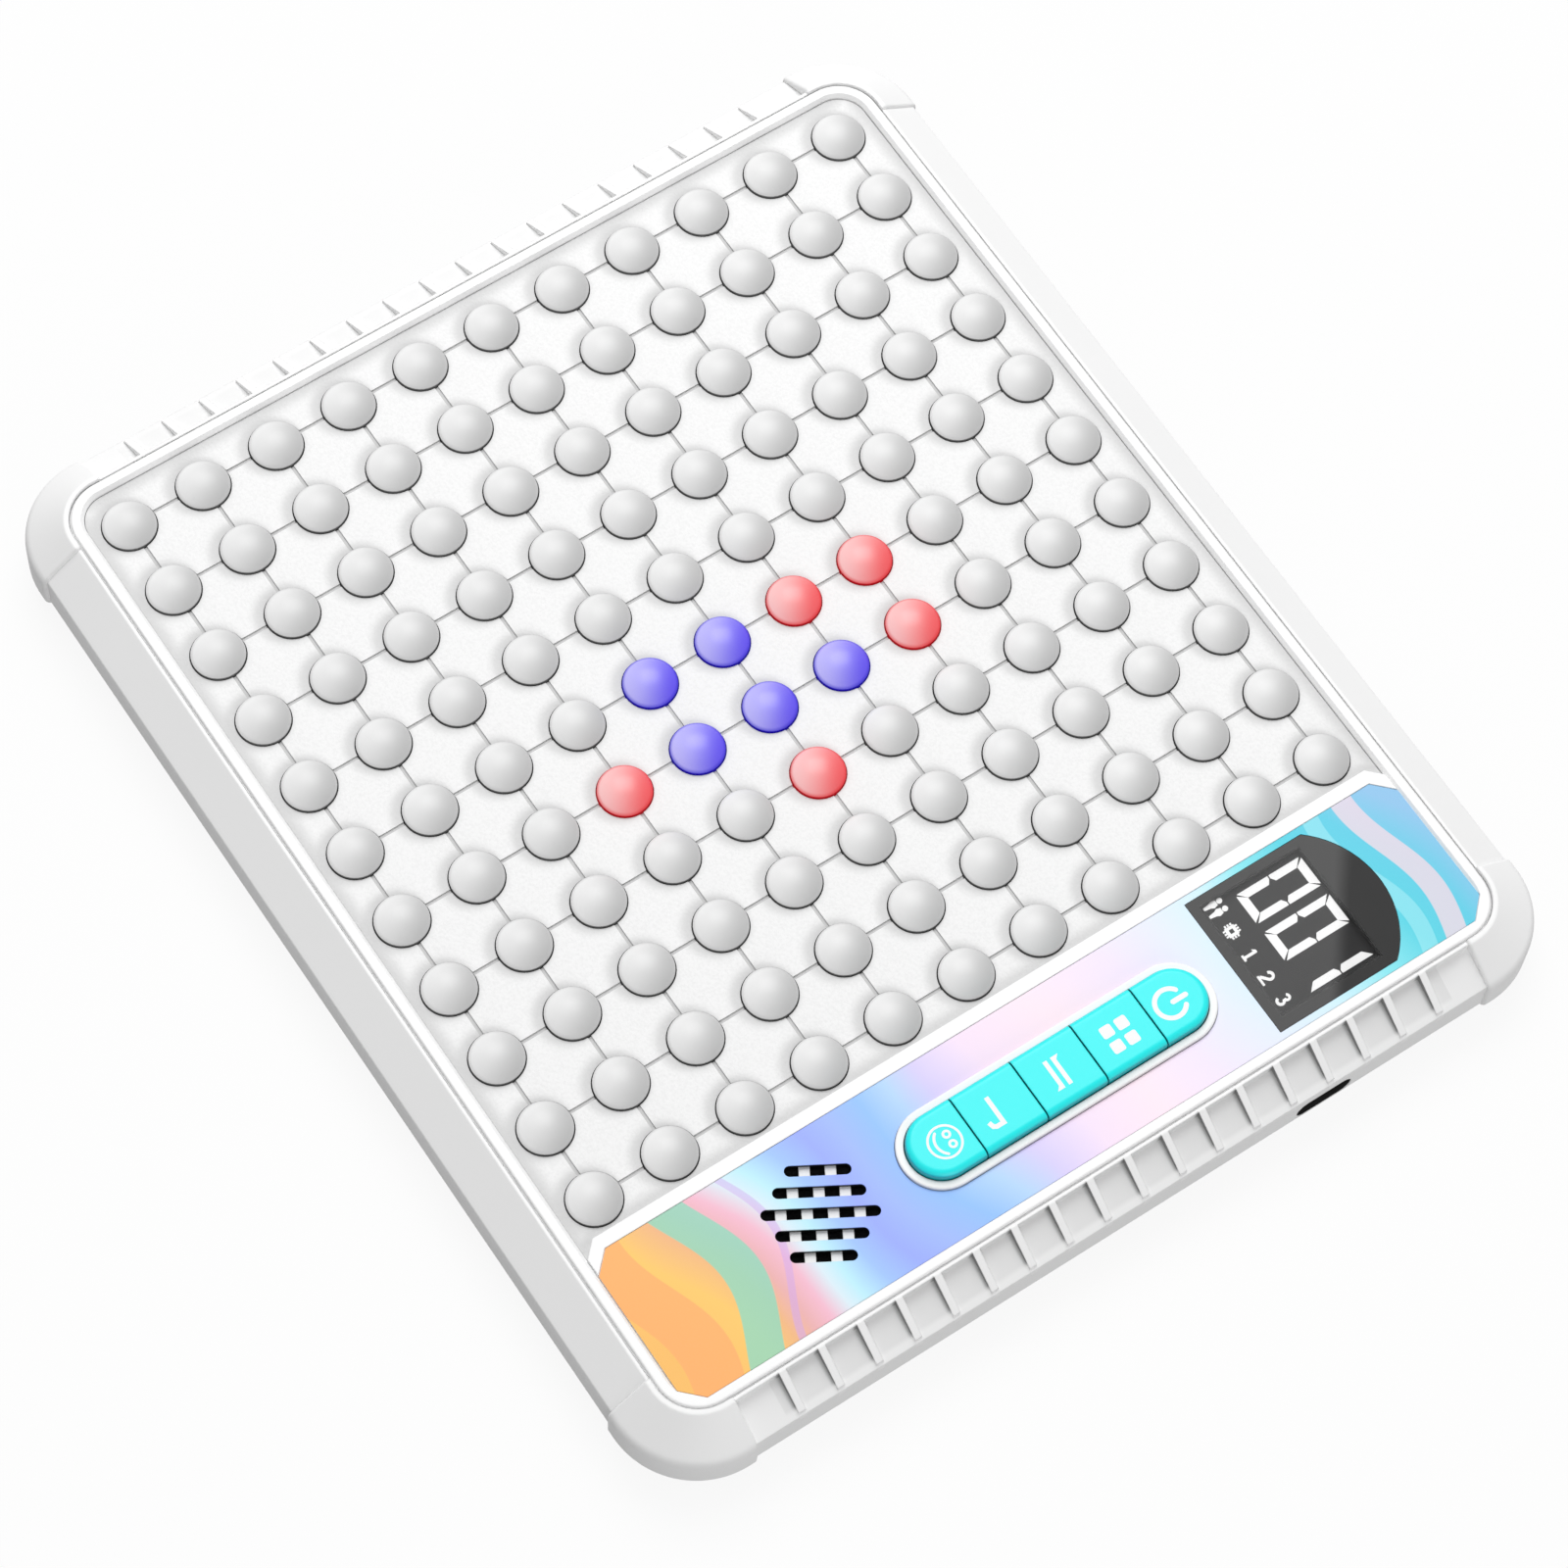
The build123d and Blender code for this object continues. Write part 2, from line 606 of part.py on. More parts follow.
def display_solid(inset, low, high):
    """Display opening with its arched end, as a solid."""
    half = DISPLAY_WIDTH / 2 - inset
    base = DISPLAY_BASE_Y + inset
    shoulder = DISPLAY_BASE_Y + DISPLAY_SIDE - inset
    crown = DISPLAY_BASE_Y + DISPLAY_SIDE + DISPLAY_RISE - inset
    sides = Polyline((-half, shoulder), (-half, base), (half, base), (half, shoulder))
    arch = ThreePointArc((half, shoulder), (0, crown), (-half, shoulder))
    face = make_face(sides + arch)
    return extrude(Pos(STRIP_CENTRE_X, 0, low) * face, amount=high - low)


def button_group_length():
    """Length of the five buttons together."""
    return (len(BUTTON_NAMES) - 2) * BUTTON_LENGTH + 2 * END_BUTTON_LENGTH


def stadium(grow, low, high):
    """Outline of the button group, grown sideways, as a solid."""
    face = SlotOverall(button_group_length() + 2 * grow, BUTTON_WIDTH + 2 * grow, rotation=90)
    return extrude(Pos(STRIP_CENTRE_X, BUTTON_CENTRE_Y, low) * face, amount=high - low)


def grille_rows():
    """Each row of the grille, as its middle in plan and its number of cells."""
    turn = math.radians(GRILLE_ANGLE)
    step = GRILLE_PITCH * math.sin(turn)
    rows = []
    for index, count in enumerate(GRILLE_ROWS):
        shift = (index - (len(GRILLE_ROWS) - 1) / 2) * step
        x = STRIP_CENTRE_X + GRILLE_SHIFT_X + shift * math.sin(turn)
        y = GRILLE_CENTRE_Y - shift * math.cos(turn)
        rows.append((x, y, count))
    return rows


def grille_slots(low, high):
    """Long slots over the rows of cells."""
    slots = []
    for x, y, count in grille_rows():
        length = (count - 1) * GRILLE_PITCH + CELL_LENGTH
        face = Pos(x, y, low) * Rot(0, 0, GRILLE_ANGLE) * SlotOverall(length, CELL_WIDTH)
        slots.append(extrude(face, amount=high - low))
    return slots


def grille_cells(low, high):
    """Sound holes of the plate, which are the parts of each slot between its cross ribs."""
    turn = math.radians(GRILLE_ANGLE)
    middle = (low + high) / 2
    cells = []
    for (x, y, count), slot in zip(grille_rows(), grille_slots(low, high)):
        for index in range(count):
            along = (index - (count - 1) / 2) * GRILLE_PITCH
            place = Pos(x + along * math.cos(turn), y + along * math.sin(turn), middle)
            room = Box(CELL_LENGTH, 2 * CELL_WIDTH, high - low)
            cells.append(slot & (place * Rot(0, 0, GRILLE_ANGLE) * room))
    return cells


def posts(places, top):
    """Screw posts that stand on the boards, without their pilot holes."""
    return rods(places, POST_RADIUS, BOARD_TOP, top)


def pilots(places):
    """Pilot holes of the posts."""
    return rods(places, SCREW_RADIUS + SCREW_THREAD_GAP, BOARD_TOP, BOARD_TOP + PILOT_DEPTH)


def rim_frame():
    """White rim round the field, in one piece with the plate of the control strip."""
    shape = prism(RIM_INSET, GROOVE_FLOOR, RIM_TOP)
    shape = fillet(level_edges(shape, RIM_TOP), CREST_ROUND)
    shape += prism(RIM_FOOT_INSET, PANEL_BOTTOM, GROOVE_FLOOR)
    shape -= prism(FIELD_INSET, PANEL_BOTTOM - OVERRUN, RIM_TOP + OVERRUN)
    shape -= cone_down(FIELD_INSET - RIM_BEVEL_WIDTH, FIELD_INSET, RIM_TOP, RIM_TOP - RIM_BEVEL_DROP)
    plate_face = strip_face(PLATE_LEFT, CASE_LENGTH / 2, INNER_HALF_WIDTH, STRIP_CHAMFER)
    plate = extrude(Pos(0, 0, PLATE_BOTTOM) * plate_face, amount=PLATE_THICKNESS)
    shape += plate & prism(FIELD_INSET - RIM_WIDTH / 2, PLATE_BOTTOM, RIM_TOP)
    shape += posts(strip_post_places(), PLATE_BOTTOM)
    shape -= pilots(strip_post_places())
    shape -= overlay_solid(FIT, OVERLAY_BOTTOM, RIM_TOP + OVERRUN)
    shape -= display_solid(-FIT, WINDOW_BOTTOM, RIM_TOP + OVERRUN)
    shape -= display_solid(WINDOW_SEAT, PLATE_BOTTOM - OVERRUN, RIM_TOP)
    shape -= stadium(BEZEL_WIDTH + BUTTON_GAP + FIT, PLATE_BOTTOM - OVERRUN, RIM_TOP + OVERRUN)
    shape -= grille_slots(OVERLAY_BOTTOM - GRILLE_RIB_DROP, RIM_TOP + OVERRUN)
    shape -= grille_cells(PLATE_BOTTOM - OVERRUN, RIM_TOP + OVERRUN)
    return shape


def grid_lines():
    """Engraved lines through the keys, both ways."""
    half = FIELD_SPAN / 2
    thin = GRID_LINE_WIDTH / 2
    low = PANEL_TOP - GRID_LINE_DEPTH
    high = PANEL_TOP + OVERRUN
    lines = []
    for index in range(KEYS_PER_SIDE):
        x, y = line_crossing(index, index)
        left = FIELD_CENTRE_X - half
        right = FIELD_CENTRE_X + half
        lines.append(block(x - thin, x + thin, -half, half, low, high))
        lines.append(block(left, right, y - thin, y + thin, low, high))
    return lines


def grid_panel():
    """Sunk field with a hole for each key and a post for each screw."""
    tongue_right = PLATE_LEFT + OVERLAY_MARGIN
    shape = prism(PANEL_INSET, PANEL_BOTTOM, PANEL_TOP)
    beyond = CASE_LENGTH / 2
    far_width = CASE_WIDTH / 2
    cut_low = PANEL_BOTTOM - OVERRUN
    shape -= block(tongue_right, beyond, -far_width, far_width, cut_low, PANEL_TOP + OVERRUN)
    plate = strip_face(PLATE_LEFT - FIT, beyond, INNER_HALF_WIDTH, STRIP_CHAMFER)
    shape -= extrude(Pos(0, 0, PLATE_BOTTOM) * plate, amount=PLATE_THICKNESS + OVERRUN)
    shape -= rods(all_key_places(), KEY_RADIUS + KEY_HOLE_GAP, cut_low, PANEL_TOP + OVERRUN)
    shape -= grid_lines()
    shape += posts(field_post_places(), PANEL_BOTTOM)
    return shape - pilots(field_post_places())


def control_overlay():
    """Printed film on the control strip, open over the display, buttons and grille."""
    shape = overlay_solid(0, OVERLAY_BOTTOM, OVERLAY_TOP)
    low = OVERLAY_BOTTOM - OVERRUN
    high = OVERLAY_TOP + OVERRUN
    shape -= display_solid(-FIT, low, high)
    shape -= stadium(BEZEL_WIDTH + BUTTON_GAP + FIT, low, high)
    return shape - grille_slots(low, high)


def display_window():
    """Smoked window over the display, level with the rim."""
    return display_solid(0, WINDOW_BOTTOM, OVERLAY_TOP)


def module_base_y():
    """Near edge of the display module."""
    return DISPLAY_BASE_Y + MODULE_INSET


def display_module():
    """Black block that carries the digits and the lamps."""
    half = MODULE_WIDTH / 2
    near = module_base_y()
    left = STRIP_CENTRE_X - half
    return block(left, left + MODULE_WIDTH, near, near + MODULE_LENGTH, BOARD_TOP, MODULE_TOP)


def segment(x, y, length, upright):
    """One bar of a digit, with pointed ends, lying on the module."""
    tip = length / 2 - DIGIT_JOINT
    half = DIGIT_STROKE / 2
    neck = tip - half
    corners = ((-tip, 0), (-neck, half), (neck, half), (tip, 0), (neck, -half), (-neck, -half))
    face = make_face(Polyline(*corners, close=True))
    turn = 90 if upright else 0
    return extrude(Pos(x, y, MODULE_TOP) * Rot(0, 0, turn) * face, amount=DIGIT_DEPTH)


def digit_bars(centre_x, only_right):
    """Lit bars of a nought, or of a one where only the right side is lit."""
    x = STRIP_CENTRE_X + centre_x
    y = DISPLAY_BASE_Y + DIGIT_BASE + DIGIT_HEIGHT / 2
    half_height = (DIGIT_HEIGHT - DIGIT_STROKE) / 2
    half_width = (DIGIT_WIDTH - DIGIT_STROKE) / 2
    bars = [segment(x + half_width, y + up * half_height / 2, half_height, True) for up in (-1, 1)]
    if only_right:
        return bars
    bars += [segment(x - half_width, y + up * half_height / 2, half_height, True) for up in (-1, 1)]
    bars += [segment(x, y + up * half_height, 2 * half_width, False) for up in (-1, 1)]
    return bars


def digit_segments():
    """Lit bars of the three digits."""
    bars = digit_bars(FIRST_DIGIT, False)
    bars += digit_bars(SECOND_DIGIT, False)
    bars += digit_bars(THIRD_DIGIT, True)
    return Compound(children=bars)


def indicator_lamps():
    """Lamps of the small signs below the digits."""
    lamps = []
    near = DISPLAY_BASE_Y + LAMP_BASE
    for index in range(LAMP_COUNT):
        x = STRIP_CENTRE_X + LAMP_SHIFT_X + (index - (LAMP_COUNT - 1) / 2) * LAMP_SPACING
        left = x - LAMP_WIDTH / 2
        lamps.append(block(left, left + LAMP_WIDTH, near, near + LAMP_HEIGHT, MODULE_TOP, DIGIT_TOP))
    return Compound(children=lamps)


def button_bezel():
    """White ring round the buttons, held under the plate by its flange."""
    inner = BUTTON_GAP
    outer = inner + BEZEL_WIDTH
    top = OVERLAY_TOP + BEZEL_RISE
    shape = stadium(outer, BEZEL_BOTTOM, top)
    shape = fillet(level_edges(shape, top), BEZEL_ROUND)
    shape += stadium(outer + BEZEL_FLANGE_WIDTH, BEZEL_BOTTOM, PLATE_BOTTOM)
    return shape - stadium(inner, BEZEL_BOTTOM - OVERRUN, top + OVERRUN)


def button_ends(index):
    """Near and far end of a button along the strip."""
    start = BUTTON_CENTRE_Y - button_group_length() / 2
    lengths = [END_BUTTON_LENGTH] + [BUTTON_LENGTH] * (len(BUTTON_NAMES) - 2) + [END_BUTTON_LENGTH]
    near = start + sum(lengths[:index])
    return near, near + lengths[index]


def button_centre(index):
    """Middle of a button in plan."""
    near, far = button_ends(index)
    return (STRIP_CENTRE_X, (near + far) / 2)


def button_band(index, inset, low, high):
    """Space along the strip that a button takes up, between its neighbours."""
    near, far = button_ends(index)
    near_room = BUTTON_WIDTH if index == 0 else -inset
    far_room = BUTTON_WIDTH if index == len(BUTTON_NAMES) - 1 else -inset
    side = BUTTON_WIDTH
    left = STRIP_CENTRE_X - side
    return block(left, left + 2 * side, near - near_room, far + far_room, low, high)


def function_button(index):
    """Cap of one function button, hollow below, with its flange and stem."""
    cap = stadium(0, BUTTON_BOTTOM, BUTTON_TOP)
    cap = fillet(level_edges(cap, BUTTON_TOP), BUTTON_ROUND)
    cap += stadium(BUTTON_FLANGE_WIDTH, BUTTON_BOTTOM, BUTTON_FLANGE_TOP)
    hollow = stadium(-BUTTON_SKIN, BUTTON_BOTTOM - OVERRUN, BUTTON_TOP - BUTTON_SKIN)
    hollow &= button_band(index, BUTTON_SKIN, BUTTON_BOTTOM - OVERRUN, BUTTON_TOP)
    cap &= button_band(index, BUTTON_PARTING / 2, BUTTON_BOTTOM, BUTTON_TOP)
    stem = rod(button_centre(index), BUTTON_STEM_RADIUS, BUTTON_BOTTOM, BUTTON_TOP - BUTTON_SKIN)
    return cap - hollow + stem


def key_profile():
    """Half section of a key about its own axis, with its base at the panel's top."""
    crown = KEY_SIDE_HEIGHT + KEY_DOME_RISE
    edge = (KEY_RADIUS, KEY_SIDE_HEIGHT)
    skirt_top = KEY_FLANGE_TOP - PANEL_TOP
    skirt_low = KEY_BOTTOM - PANEL_TOP
    flange = KEY_RADIUS + KEY_FLANGE_WIDTH
    inner = KEY_RADIUS - KEY_WALL
    dome_radius = (KEY_RADIUS ** 2 + KEY_DOME_RISE ** 2) / (2 * KEY_DOME_RISE)
    centre_z = crown - dome_radius
    inner_radius = dome_radius - KEY_WALL
    inner_edge_z = centre_z + math.sqrt(inner_radius ** 2 - inner ** 2)
    half_x = KEY_RADIUS / 2
    inner_half_x = inner / 2
    outside = ThreePointArc(
        (0, crown),
        (half_x, centre_z + math.sqrt(dome_radius ** 2 - half_x ** 2)),
        edge,
    )
    inside = ThreePointArc(
        (inner, inner_edge_z),
        (inner_half_x, centre_z + math.sqrt(inner_radius ** 2 - inner_half_x ** 2)),
        (0, centre_z + inner_radius),
    )
    side = Polyline(
        edge,
        (KEY_RADIUS, skirt_top),
        (flange, skirt_top),
        (flange, skirt_low),
        (inner, skirt_low),
        (inner, inner_edge_z),
    )
    axis_line = Line((0, centre_z + inner_radius), (0, crown))
    return make_face(outside + side + inside + axis_line)


def key_solid():
    """Domed, translucent key, hollow below."""
    return Pos(0, 0, PANEL_TOP) * revolve(Plane.XZ * key_profile(), axis=Axis.Z)


def lit_keys():
    """Keys that are lit, with their colour."""
    return [(place, "red") for place in RED_KEYS] + [(place, "blue") for place in BLUE_KEYS]


def key_row(one_key, column):
    """Unlit keys of one line of the field."""
    lit = RED_KEYS + BLUE_KEYS
    places = [key_place(column, row) for row in range(KEYS_PER_SIDE) if (column, row) not in lit]
    return Compound(children=[Pos(x, y, 0) * one_key for x, y in places])


def board_half():
    """Half length of the square board under the field."""
    return FIELD_SPAN / 2 + BOARD_MARGIN


def main_board():
    """Circuit board under the field."""
    half = board_half()
    left = FIELD_CENTRE_X - half
    shape = block(left, left + 2 * half, -half, half, BOARD_BOTTOM, BOARD_TOP)
    return shape - rods(field_post_places(), SCREW_RADIUS + SCREW_FREE_GAP, 0, BOARD_TOP + OVERRUN)


def control_board():
    """Circuit board under the control strip, notched for the charging port."""
    left = FIELD_CENTRE_X + board_half() + BOARD_PARTING
    right = CASE_LENGTH / 2 - CONTROL_BOARD_REACH
    half = CASE_WIDTH / 2 - CONTROL_BOARD_END
    shape = block(left, right, -half, half, BOARD_BOTTOM, BOARD_TOP)
    notch_half = PORT_WIDTH / 2 + PORT_NOTCH_GAP
    notch_left = port_back() - PORT_NOTCH_GAP
    notch = (PORT_CENTRE_Y - notch_half, PORT_CENTRE_Y + notch_half, 0, BOARD_TOP + OVERRUN)
    shape -= block(notch_left, right + OVERRUN, *notch)
    return shape - rods(strip_post_places(), SCREW_RADIUS + SCREW_FREE_GAP, 0, BOARD_TOP + OVERRUN)


def key_leds():
    """One lamp under each key."""
    lamp = Pos(0, 0, BOARD_TOP + LED_HEIGHT / 2) * Box(LED_SIZE, LED_SIZE, LED_HEIGHT)
    return Compound(children=[Pos(x, y, 0) * lamp for x, y in all_key_places()])


def key_sheet():
    """Rubber sheet with a springy tube under each key."""
    half = FIELD_SPAN / 2 + SHEET_TUBE_RADIUS
    left = FIELD_CENTRE_X - half
    top = BOARD_TOP + SHEET_THICKNESS
    shape = block(left, left + 2 * half, -half, half, BOARD_TOP, top)
    shape += rods(all_key_places(), SHEET_TUBE_RADIUS, BOARD_TOP, SHEET_TUBE_TOP)
    shape -= rods(all_key_places(), SHEET_HOLE_RADIUS, 0, SHEET_TUBE_TOP + OVERRUN)
    return shape - rods(field_post_places(), POST_RADIUS + SHEET_POST_GAP, 0, top + OVERRUN)


def tact_switches():
    """Push switch under each function button."""
    switches = []
    for index in range(len(BUTTON_NAMES)):
        x, y = button_centre(index)
        body = Box(SWITCH_SIZE, SWITCH_SIZE, SWITCH_BODY_HEIGHT)
        body = Pos(x, y, BOARD_TOP + SWITCH_BODY_HEIGHT / 2) * body
        switches.append(body + rod((x, y), SWITCH_CAP_RADIUS, BOARD_TOP, SWITCH_TOP))
    return Compound(children=switches)


def control_chips():
    """Chips on the control board, past the speaker."""
    chips = []
    for index in range(CHIP_COUNT):
        y = CHIP_CENTRE_Y + (index - (CHIP_COUNT - 1) / 2) * CHIP_SPACING / 2
        x = STRIP_CENTRE_X
        size = CHIP_SIZE / (index + 1)
        chips.append(Pos(x, y, BOARD_TOP + CHIP_HEIGHT / 2) * Box(size, size / 2, CHIP_HEIGHT))
    return Compound(children=chips)


def board_joint_x():
    """Middle of the gap between the two boards."""
    return FIELD_CENTRE_X + board_half() + BOARD_PARTING / 2


def ribbon_sockets():
    """Sockets of the flat ribbon, under the edge of each board."""
    sockets = []
    for side in (-1, 1):
        x = board_joint_x() + side * (BOARD_PARTING / 2 + SOCKET_SETBACK + SOCKET_DEPTH / 2)
        body = Box(SOCKET_DEPTH, SOCKET_WIDTH, SOCKET_HEIGHT)
        sockets.append(Pos(x, RIBBON_CENTRE_Y, BOARD_BOTTOM - SOCKET_HEIGHT / 2) * body)
    return Compound(children=sockets)


def board_ribbon():
    """Flat ribbon between the two sockets."""
    length = BOARD_PARTING + 2 * SOCKET_SETBACK
    height = BOARD_BOTTOM - SOCKET_HEIGHT / 2
    return Pos(board_joint_x(), RIBBON_CENTRE_Y, height) * Box(length, RIBBON_WIDTH, RIBBON_THICKNESS)


def battery_cell():
    """Flat rechargeable cell under the field."""
    low = FLOOR_TOP + BATTERY_PAD_THICKNESS
    x, y = battery_place()
    cell = Box(BATTERY_LENGTH, BATTERY_WIDTH, BATTERY_THICKNESS)
    cell = fillet(cell.edges().filter_by(Axis.Y), BATTERY_ROUND)
    return Pos(x, y, low + BATTERY_THICKNESS / 2) * cell


def battery_pad():
    """Foam pad between the cell and the case floor."""
    x, y = battery_place()
    length = BATTERY_LENGTH - 2 * BATTERY_PAD_MARGIN
    width = BATTERY_WIDTH - 2 * BATTERY_PAD_MARGIN
    pad = Box(length, width, BATTERY_PAD_THICKNESS)
    return Pos(x, y, FLOOR_TOP + BATTERY_PAD_THICKNESS / 2) * pad


def speaker_place():
    """Middle of the speaker in plan."""
    return (STRIP_CENTRE_X + GRILLE_SHIFT_X, GRILLE_CENTRE_Y)


def speaker_basket():
    """Pressed frame of the speaker, glued under the plate."""
    place = speaker_place()
    bottom = PLATE_BOTTOM - SPEAKER_DEPTH
    flange_low = PLATE_BOTTOM - SPEAKER_FLANGE_THICKNESS
    inner = SPEAKER_RADIUS - SPEAKER_FLANGE_WIDTH
    shape = rod(place, SPEAKER_RADIUS, flange_low, PLATE_BOTTOM)
    shape += rod(place, inner + SPEAKER_METAL, bottom, flange_low)
    return shape - rod(place, inner, bottom + SPEAKER_METAL, PLATE_BOTTOM + OVERRUN)


def speaker_cone():
    """Paper cone with its dust cap, inside the basket."""
    outer = SPEAKER_RADIUS - SPEAKER_FLANGE_WIDTH - FIT
    top = PLATE_BOTTOM - CONE_SURROUND
    low = top - CONE_DROP
    skin = CONE_THICKNESS
    crown = low + CONE_CAP_RISE
    lip = outer - CONE_SURROUND
    sides = Polyline(
        (0, crown),
        (0, crown - skin),
        (CONE_CAP_RADIUS, low - skin),
        (lip, top - skin),
        (outer, top - skin),
        (outer, top),
        (lip, top),
        (CONE_CAP_RADIUS, low),
        close=True,
    )
    x, y = speaker_place()
    return Pos(x, y, 0) * revolve(Plane.XZ * make_face(sides), axis=Axis.Z)


def speaker_magnet():
    """Magnet under the speaker's basket."""
    bottom = PLATE_BOTTOM - SPEAKER_DEPTH
    return rod(speaker_place(), MAGNET_RADIUS, bottom - MAGNET_THICKNESS, bottom)


def port_body(inset, start, end):
    """Flat-sided tube of the charging port, between two places along X."""
    face = SlotOverall(PORT_WIDTH - 2 * inset, PORT_HEIGHT - 2 * inset)
    plane = Plane(origin=(start, PORT_CENTRE_Y, PORT_CENTRE_Z), x_dir=(0, 1, 0), z_dir=(1, 0, 0))
    return extrude(plane * face, amount=end - start)


def port_front():
    """Place along X of the port's mouth, just inside the wall."""
    return CASE_LENGTH / 2 - CASE_WALL - PORT_WALL_GAP


def port_back():
    """Place along X of the port's back end."""
    return port_front() - PORT_LENGTH


def port_shell():
    """Metal shell of the charging port, with two ears that lie on the control board."""
    back = port_back()
    ear_back = back + PORT_BACK
    half = PORT_WIDTH / 2 + PORT_NOTCH_GAP + PORT_EAR_WIDTH
    ears = (PORT_CENTRE_Y - half, PORT_CENTRE_Y + half, BOARD_TOP, BOARD_TOP + PORT_METAL)
    shape = port_body(0, back, port_front())
    shape += block(ear_back, ear_back + PORT_EAR_LENGTH, *ears)
    return shape - port_body(PORT_METAL, ear_back, port_front() + OVERRUN)


def port_tongue():
    """Contact tongue inside the charging port."""
    back = port_back() + PORT_BACK
    half = TONGUE_PLATE_WIDTH / 2
    thin = TONGUE_PLATE_HEIGHT / 2
    y_low = PORT_CENTRE_Y - half
    z_low = PORT_CENTRE_Z - thin
    tip = port_front() - TONGUE_PLATE_SETBACK
    return block(back, tip, y_low, y_low + 2 * half, z_low, z_low + 2 * thin)


def save(shape, name):
    """Write one piece to its file."""
    export_step(shape, os.path.join("parts", name + ".step"))


def main():
    """Build every piece of the board."""
    os.makedirs("parts", exist_ok=True)
    shell = bumper_shell()
    bumpers = {}
    for end_name, side_y in (("near", -1), ("far", 1)):
        for side_name, side_x in (("left", -1), ("right", 1)):
            bumpers[f"bumper_{end_name}_{side_name}"] = corner_bumper(shell, side_x, side_y)
    for name, bumper in bumpers.items():
        save(bumper, name)
    save(outer_case(bumpers.values()), "outer_case")
    save(bottom_case(bumpers.values()), "bottom_case")
    save(rim_frame(), "rim_frame")
    save(grid_panel(), "grid_panel")
    save(control_overlay(), "control_overlay")
    save(display_window(), "display_window")
    save(display_module(), "display_module")
    save(digit_segments(), "digit_segments")
    save(indicator_lamps(), "indicator_lamps")
    save(button_bezel(), "button_bezel")
    for index, name in enumerate(BUTTON_NAMES):
        save(function_button(index), "button_" + name)
    one_key = key_solid()
    for (column, row), colour in lit_keys():
        x, y = key_place(column, row)
        save(Pos(x, y, 0) * one_key, f"key_{colour}_{column:02d}_{row:02d}")
    for column in range(KEYS_PER_SIDE):
        save(key_row(one_key, column), f"keys_line_{column:02d}")
    save(main_board(), "main_board")
    save(control_board(), "control_board")
    save(key_leds(), "key_leds")
    save(key_sheet(), "key_sheet")
    save(tact_switches(), "tact_switches")
    save(control_chips(), "control_chips")
    save(ribbon_sockets(), "ribbon_sockets")
    save(board_ribbon(), "board_ribbon")
    save(battery_cell(), "battery_cell")
    save(battery_pad(), "battery_pad")
    save(speaker_basket(), "speaker_basket")
    save(speaker_cone(), "speaker_cone")
    save(speaker_magnet(), "speaker_magnet")
    save(port_shell(), "port_shell")
    save(port_tongue(), "port_tongue")
    save(feet(), "feet")
    save(case_screws(), "case_screws")


main()
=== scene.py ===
"""Looks of the electronic game board: its finishes, its signs, the studio and the camera."""

from __future__ import annotations

import functools
import json
import logging
import math
from dataclasses import dataclass, field
from enum import Enum
from typing import Any, ClassVar, Iterable, Sequence, Union

import bmesh
import bpy
from mathutils import Matrix, Vector

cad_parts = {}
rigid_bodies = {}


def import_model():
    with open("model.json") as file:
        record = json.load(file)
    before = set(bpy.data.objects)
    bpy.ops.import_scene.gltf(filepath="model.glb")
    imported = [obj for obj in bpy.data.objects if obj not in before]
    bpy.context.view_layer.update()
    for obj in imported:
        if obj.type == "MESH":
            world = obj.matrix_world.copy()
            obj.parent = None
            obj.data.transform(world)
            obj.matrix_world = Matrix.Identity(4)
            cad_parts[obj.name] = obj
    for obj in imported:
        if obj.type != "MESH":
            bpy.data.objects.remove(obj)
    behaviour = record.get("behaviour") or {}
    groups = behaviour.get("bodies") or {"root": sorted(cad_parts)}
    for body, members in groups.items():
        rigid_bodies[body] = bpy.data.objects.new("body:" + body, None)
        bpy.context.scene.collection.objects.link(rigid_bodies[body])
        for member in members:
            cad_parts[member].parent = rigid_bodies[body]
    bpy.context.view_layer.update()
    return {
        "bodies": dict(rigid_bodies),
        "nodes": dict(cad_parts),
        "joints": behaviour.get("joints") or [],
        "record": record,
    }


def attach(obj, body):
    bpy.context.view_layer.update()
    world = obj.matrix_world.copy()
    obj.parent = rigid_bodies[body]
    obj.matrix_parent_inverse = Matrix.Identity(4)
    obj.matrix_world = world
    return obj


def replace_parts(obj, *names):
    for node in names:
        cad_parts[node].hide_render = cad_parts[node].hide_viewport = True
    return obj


LOG = logging.getLogger("game_board")
METRES = 0.001
FULL_TURN = 360.0
BRIGHTEST = 0.97

Frame = dict[str, Any]
Point = tuple[float, float]
Shade = tuple[float, float, float]
Paint = Union["Wire", Shade]
Value = Union["Wire", float]


def shade(code: str) -> Shade:
    """Turn a colour as it is written for a screen into light.

    Args:
        code: Six hexadecimal digits after a hash sign.

    Returns:
        Red, green and blue light, each from 0 to 1.
    """
    parts = [int(code[at:at + 2], 16) / 255 for at in (1, 3, 5)]
    red, green, blue = [
        part / 12.92 if part <= 0.04045 else ((part + 0.055) / 1.055) ** 2.4 for part in parts]
    return red, green, blue


def scaled(colour: Shade, share: float) -> Shade:
    """Make a colour lighter or darker by a share, short of full white."""
    red, green, blue = [min(BRIGHTEST, part * share) for part in colour]
    return red, green, blue


